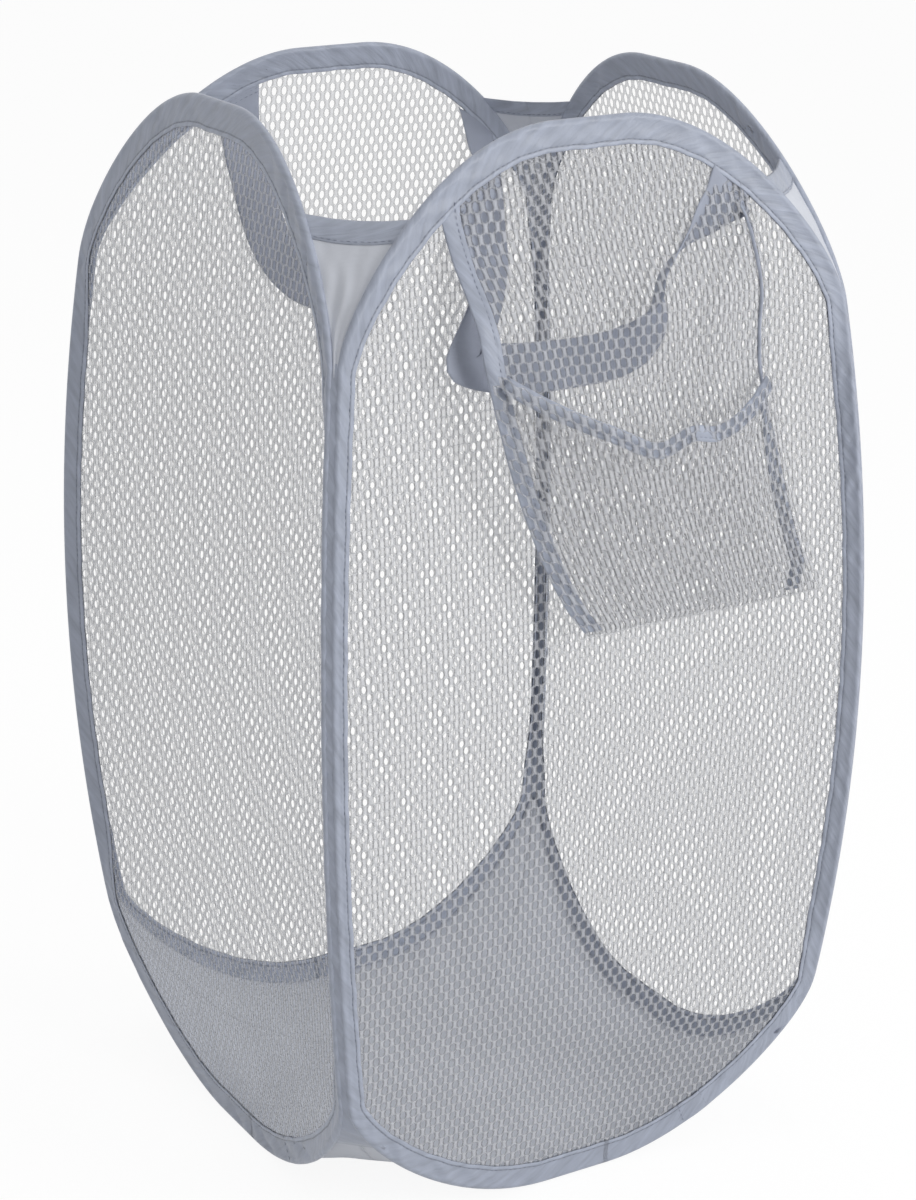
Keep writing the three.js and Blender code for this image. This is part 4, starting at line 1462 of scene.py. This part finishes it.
def pocket_front(share, rise, height):
    """How far out of the panel the pocket's front hangs."""
    return pocket_back(height) + POCKET_DEPTH * bulge_at(share) * np.sqrt(np.clip(rise, 0, 1))


def pocket_folds(share, height):
    """Soft gathers that fan down from the hem."""
    place = np.stack([share * 150 * MM, height * 0.25], -1)
    return ripples(place, (23 * MM, 37 * MM, 16 * MM), 17) * np.clip(bulge_at(share) * 3, 0, 1)


def across_hinge(piece):
    """Bakes the transform of a piece of the pocket into its mesh."""
    start = on_panel("front", 0.0, POCKET_OUT, FRONT_HINGE + 4 * MM)
    end = on_panel("front", 0.0, POCKET_OUT, FRONT_HINGE - 14 * MM)
    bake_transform(piece)


class HAMPER_OT_pocket_nets(bpy.types.Operator):
    """Make the nets of the pocket: the tall back one and the front one"""

    bl_idname = "hamper.pocket_nets"
    bl_label = "Pocket nets"

    def execute(self, context):
        back = self.back_net()
        across_hinge(back)
        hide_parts("pocket_back_net", "pocket_yoke_net")
        front = self.front_net()
        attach(front, "pocket")
        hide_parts("pocket_front_net")
        return {"FINISHED"}

    def back_net(self):
        """The tall net from the hem down to the floor, its upper edge under the hem."""
        half, low = BACK_NET_WIDTH / 2, POCKET_FLOOR + 120 * MM
        top = hem_height("front", np.linspace(POCKET_TOP_LEFT, POCKET_TOP_RIGHT, 40)) + 2.5 * MM
        edge = np.stack([np.linspace(-half, half, 40), top - low], -1)
        corners = [(half, POCKET_FLOOR - low), (-half, POCKET_FLOOR - low)]
        points, faces, in_cell = flat_net("pocket back", np.concatenate([edge, corners]))
        share = points[:, 0] / BACK_NET_WIDTH + 0.5
        height = points[:, 1] + low
        across = pocket_across(share, height)
        ease = smooth_step((FRONT_HINGE + 10 * MM - height) / (60 * MM))
        out = laid_back(across, height) + points[:, 2] + 1.6 * MM * pocket_folds(share, height) * ease
        return net_object("pocket_tall_net", on_panel("front", across, out, height), faces, in_cell)

    def front_net(self):
        """The net in front, which bulges out and runs up inside the tape of the mouth."""
        x, y = FRONT_NET_WIDTH / 2, FRONT_NET_HEIGHT / 2
        points, faces, in_cell = flat_net("pocket front", [(-x, -y), (x, -y), (x, y), (-x, y)])
        share = points[:, 0] / FRONT_NET_WIDTH + 0.5
        rise = points[:, 1] / FRONT_NET_HEIGHT + 0.5
        height = mix(POCKET_FLOOR, mouth_height(share) + 9 * MM, rise)
        over_tape = 3 * MM * smooth_step((height - mouth_height(share) + 8 * MM) / (7 * MM))
        out = pocket_front(share, rise, height) + POCKET_LIFT + over_tape + points[:, 2]
        out += 1.4 * MM * pocket_folds(share + 0.3, height) * bulge_at(share)
        middle = pocket_across(0.5, height)
        across = middle + (pocket_across(share, height) - middle) * 1.06
        return net_object("pocket_front_layer", on_panel("front", across, out, height), faces, in_cell)


def tape_ring(width, thickness):
    """The section of a binding tape: flat, with soft edges and a stitched dip near the inner one."""
    half, t = width / 2, thickness / 2
    face = [
        (-half, 0.35 * t), (-half * 0.94, t * 0.9), (-half * 0.6, t), (-half * 0.45, t * 0.72),
        (-half * 0.3, t), (half * 0.3, t * 1.05), (half * 0.9, t * 0.95), (half, 0.4 * t),
    ]  # fmt: skip
    return np.array(face + [(a, -b) for a, b in face[::-1]])


def puckers(where, seed):
    """How a binding tape waves along its length."""
    return BINDING_PUCKER * ripples(where, (17 * MM, 11 * MM, 29 * MM), seed)


def binding(name, middle, wide, thick, seed, flip=1, width_share=0.9, thin=1.0):
    """A binding tape along a line of (across, out, height) places; wide and thick are its directions."""
    width = sizes().binding_width * width_share
    ring = tape_ring(width, BINDING_THICKNESS) * (flip, 1)
    stations = lengths_along(middle)
    where = np.stack(np.broadcast_arrays(stations[:, None], ring[None, :, 0]), -1)
    body = (
        middle[:, None, :]
        + ring[None, :, :1] * wide[:, None, :]
        + (ring[None, :, 1] * thin + puckers(where, seed))[..., None] * thick[:, None, :]
    )
    tape = swept(name, on_panel("front", *np.moveaxis(body, -1, 0)), material_of("tape"), uv=where)
    wave = puckers(np.stack([stations, stations * 0], -1), seed)[:, None]
    rows = []
    for face in (1, -1):
        line = middle - flip * 0.45 * width / 2 * wide + face * 0.75 * MM * thick + wave * thick
        rows.append(on_panel("front", *line.T))
    return tape, sew(name + "_stitches", rows)


class HAMPER_OT_pocket_tapes(bpy.types.Operator):
    """Make the tapes down the sides and round the mouth of the pocket"""

    bl_idname = "hamper.pocket_tapes"
    bl_label = "Pocket tapes"

    def execute(self, context):
        for name in ("left", "right"):
            tape, thread = self.side_tape(name)
            for piece in (tape, thread):
                across_hinge(piece)
            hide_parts("pocket_binding_" + name)
        tape, thread = self.mouth_tape()
        for piece in (tape, thread):
            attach(piece, "pocket")
        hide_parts("pocket_mouth_binding")
        return {"FINISHED"}

    def side_tape(self, name):
        """The tape down one side, from under the hem to the floor. The right one stands half on edge."""
        left = name == "left"
        flip, side_at = (1, pocket_left) if left else (-1, pocket_right)
        top = float(hem_height("front", side_at(FRONT_HINGE + 20 * MM) * 0.94)) + HEM_LAP
        heights = np.linspace(top, POCKET_FLOOR, 110)
        curl = smooth_step((POCKET_FLOOR + 16 * MM - heights) / (16 * MM))
        across = side_at(heights) + (2 * MM * curl if left else -3 * MM - 9 * MM * curl)
        lift = (0.8 * MM if left else -1.4 * MM) * smooth_step((top - 3 * MM - heights) / (14 * MM))
        middle = np.stack([across, laid_back(side_at(heights), heights) + lift, heights], -1)
        run = unit(np.gradient(middle, axis=0))
        below_hem = smooth_step((top - 4 * MM - heights) / (12 * MM))
        above_floor = smooth_step((heights - 400 * MM) / (70 * MM))
        turn = below_hem * above_floor * (0.0 if left else RIGHT_TAPE_TURN)
        wide = np.stack([-np.cos(turn), np.sin(turn), 0 * turn], -1)
        thin = mix(0.2, 1.0, smooth_step((top - 6 * MM - heights) / (9 * MM)))[:, None]
        thick = unit(np.cross(wide, run))
        thick *= np.sign(thick @ OUTWARD)[:, None]
        share = 1.2 if left else 1.0
        return binding("pocket_side_tape_" + name, middle, wide, thick, 41 + flip, flip, share, thin)

    def mouth_tape(self):
        """The tape round the mouth, standing along the front net's upper edge."""
        share = np.linspace(0.01, 0.975, 90)
        height = mouth_height(share)
        rise = height + 4 * MM
        out = pocket_front(share, 1.0, rise) + POCKET_LIFT + 0.6 * MM
        middle = np.stack([pocket_across(share, height), out, rise], -1)
        run = unit(np.gradient(middle, axis=0))
        thick = unit(OUTWARD - run * (run @ OUTWARD)[:, None])
        wide = unit(np.cross(thick, run))
        wide *= np.sign(wide[:, 2:])
        return binding("pocket_mouth_tape", middle, wide, thick, 47)


# The stage: floor, lamps and the photograph's viewpoint

# The camera's angles in degrees, its distance from its target, and its lens: a focal length in pixels of a
# picture of this height, on a sensor in millimetres
CAMERA_AZIMUTH = -30.2
CAMERA_ELEVATION = 19.5
CAMERA_DISTANCE = 1.6375
CAMERA_TARGET = (3.54 * MM, -2.06 * MM, 301.2 * MM)
FOCAL_PIXELS = 2850
IMAGE_HEIGHT = 1200
SENSOR = 36


class HAMPER_OT_stage(bpy.types.Operator):
    """Make the floor, the lamps and the camera"""

    bl_idname = "hamper.stage"
    bl_label = "Stage"

    def execute(self, context):
        self.floor()
        self.world(context.scene)
        self.lamp("key", (1.2, -2.0, 1.1), 1.2, 25)
        self.lamp("fill", (-1.9, -0.9, 1.2), 1.6, 0.8)
        self.lamp("top", (0.1, 0.3, 2.3), 1.6, 6)
        self.camera(context.scene)
        context.scene.view_settings.view_transform = "Standard"
        return {"FINISHED"}

    def floor(self):
        span, level = 6.0, -0.3 * MM
        corners = [(-span, -span, level), (span, -span, level), (span, span, level), (-span, span, level)]
        floor = make_object("floor", corners, [(0, 1, 2, 3)], self.white_material(), recalculate=False)

    def white_material(self):
        """A matt white floor, which the camera sees nearly as white as the world."""
        material, tree, shader = principled("studio white", (0.86, 0.86, 0.86), 0.9)
        glow = add_node(tree, "ShaderNodeEmission", {"Strength": 1.06})
        self.mix_for_camera(tree, shader.outputs["BSDF"], glow.outputs["Emission"], 0.86)
        return material

    def mix_for_camera(self, tree, lit, seen, share):
        """Shows the second shader to the camera, mirrors and glass, by that share."""
        path = add_node(tree, "ShaderNodeLightPath")
        total = path.outputs["Is Camera Ray"]
        for kind in ("Is Glossy Ray", "Is Transmission Ray"):
            total = add_math(tree, "MAXIMUM", total, path.outputs[kind])
        scaled = add_math(tree, "MULTIPLY", total, share)
        blend = add_node(tree, "ShaderNodeMixShader", {"Fac": scaled, 1: lit, 2: seen})
        output = next(node for node in tree.nodes if node.bl_idname.startswith("ShaderNodeOutput"))
        tree.links.new(blend.outputs["Shader"], output.inputs["Surface"])

    def world(self, scene):
        world = bpy.data.worlds.new("studio")
        world.use_nodes = True
        tree = world.node_tree
        light = tree.nodes["Background"]
        light.inputs["Color"].default_value = (1, 1, 1, 1)
        light.inputs["Strength"].default_value = 0.45
        seen = add_node(tree, "ShaderNodeBackground", {"Color": (1, 1, 1, 1), "Strength": 1.0})
        self.mix_for_camera(tree, light.outputs["Background"], seen.outputs["Background"], 1.0)
        scene.world = world

    def lamp(self, name, place, size, power):
        light = bpy.data.lights.new(name, "AREA")
        light.shape = "DISK"
        light.size = size
        light.energy = power
        made = link_object(name, light)
        made.location = place
        toward = Vector((0, 0, HEIGHT / 2)) - Vector(place)
        made.rotation_euler = toward.to_track_quat("-Z", "Y").to_euler()

    def camera(self, scene):
        data = bpy.data.cameras.new("camera")
        data.sensor_width = SENSOR
        data.lens = FOCAL_PIXELS / IMAGE_HEIGHT * SENSOR
        data.clip_start, data.clip_end = 0.05, 50
        camera = link_object("camera", data)
        turn, rise = math.radians(CAMERA_AZIMUTH), math.radians(CAMERA_ELEVATION)
        back = Vector((math.sin(turn) * math.cos(rise), -math.cos(turn) * math.cos(rise), math.sin(rise)))
        camera.location = Vector(CAMERA_TARGET) + Vector((0, MIDDLE_Y, 0)) + back * CAMERA_DISTANCE
        camera.rotation_euler = (-back).to_track_quat("-Z", "Y").to_euler()
        scene.camera = camera


STEPS = (
    HAMPER_OT_stage,
    HAMPER_OT_wires,
    HAMPER_OT_sleeves,
    HAMPER_OT_panel_nets,
    HAMPER_OT_corner_seams,
    HAMPER_OT_gussets,
    HAMPER_OT_bottom,
    HAMPER_OT_straps,
    HAMPER_OT_pocket_nets,
    HAMPER_OT_pocket_tapes,
)


class HAMPER_PT_panel(bpy.types.Panel):
    """Lists the steps that build the hamper, and its sizes and colours"""

    bl_label = "Hamper"
    bl_idname = "HAMPER_PT_panel"
    bl_space_type = "VIEW_3D"
    bl_region_type = "UI"
    bl_category = "Hamper"

    def draw(self, context):
        layout = self.layout
        for group in (context.scene.hamper_sizes, context.scene.hamper_colours):
            for name in group.bl_rna.properties.keys():
                if name not in ("rna_type", "name"):
                    layout.prop(group, name)
        for step in STEPS:
            layout.operator(step.bl_idname)


CLASSES = (HamperSizes, HamperColours, *STEPS, HAMPER_PT_panel)


def register():
    for item in CLASSES:
        bpy.utils.register_class(item)
    bpy.types.Scene.hamper_sizes = PointerProperty(type=HamperSizes)
    bpy.types.Scene.hamper_colours = PointerProperty(type=HamperColours)


def unregister():
    del bpy.types.Scene.hamper_colours
    del bpy.types.Scene.hamper_sizes
    for item in reversed(CLASSES):
        bpy.utils.unregister_class(item)


def main():
    register()
    bpy.ops.hamper.stage()
    bpy.ops.hamper.wires()
    bpy.ops.hamper.sleeves()
    bpy.ops.hamper.panel_nets()
    bpy.ops.hamper.corner_seams()
    bpy.ops.hamper.gussets()
    bpy.ops.hamper.bottom()
    bpy.ops.hamper.straps()
    bpy.ops.hamper.pocket_nets()
    bpy.ops.hamper.pocket_tapes()


if __name__ == "__main__":
    main()
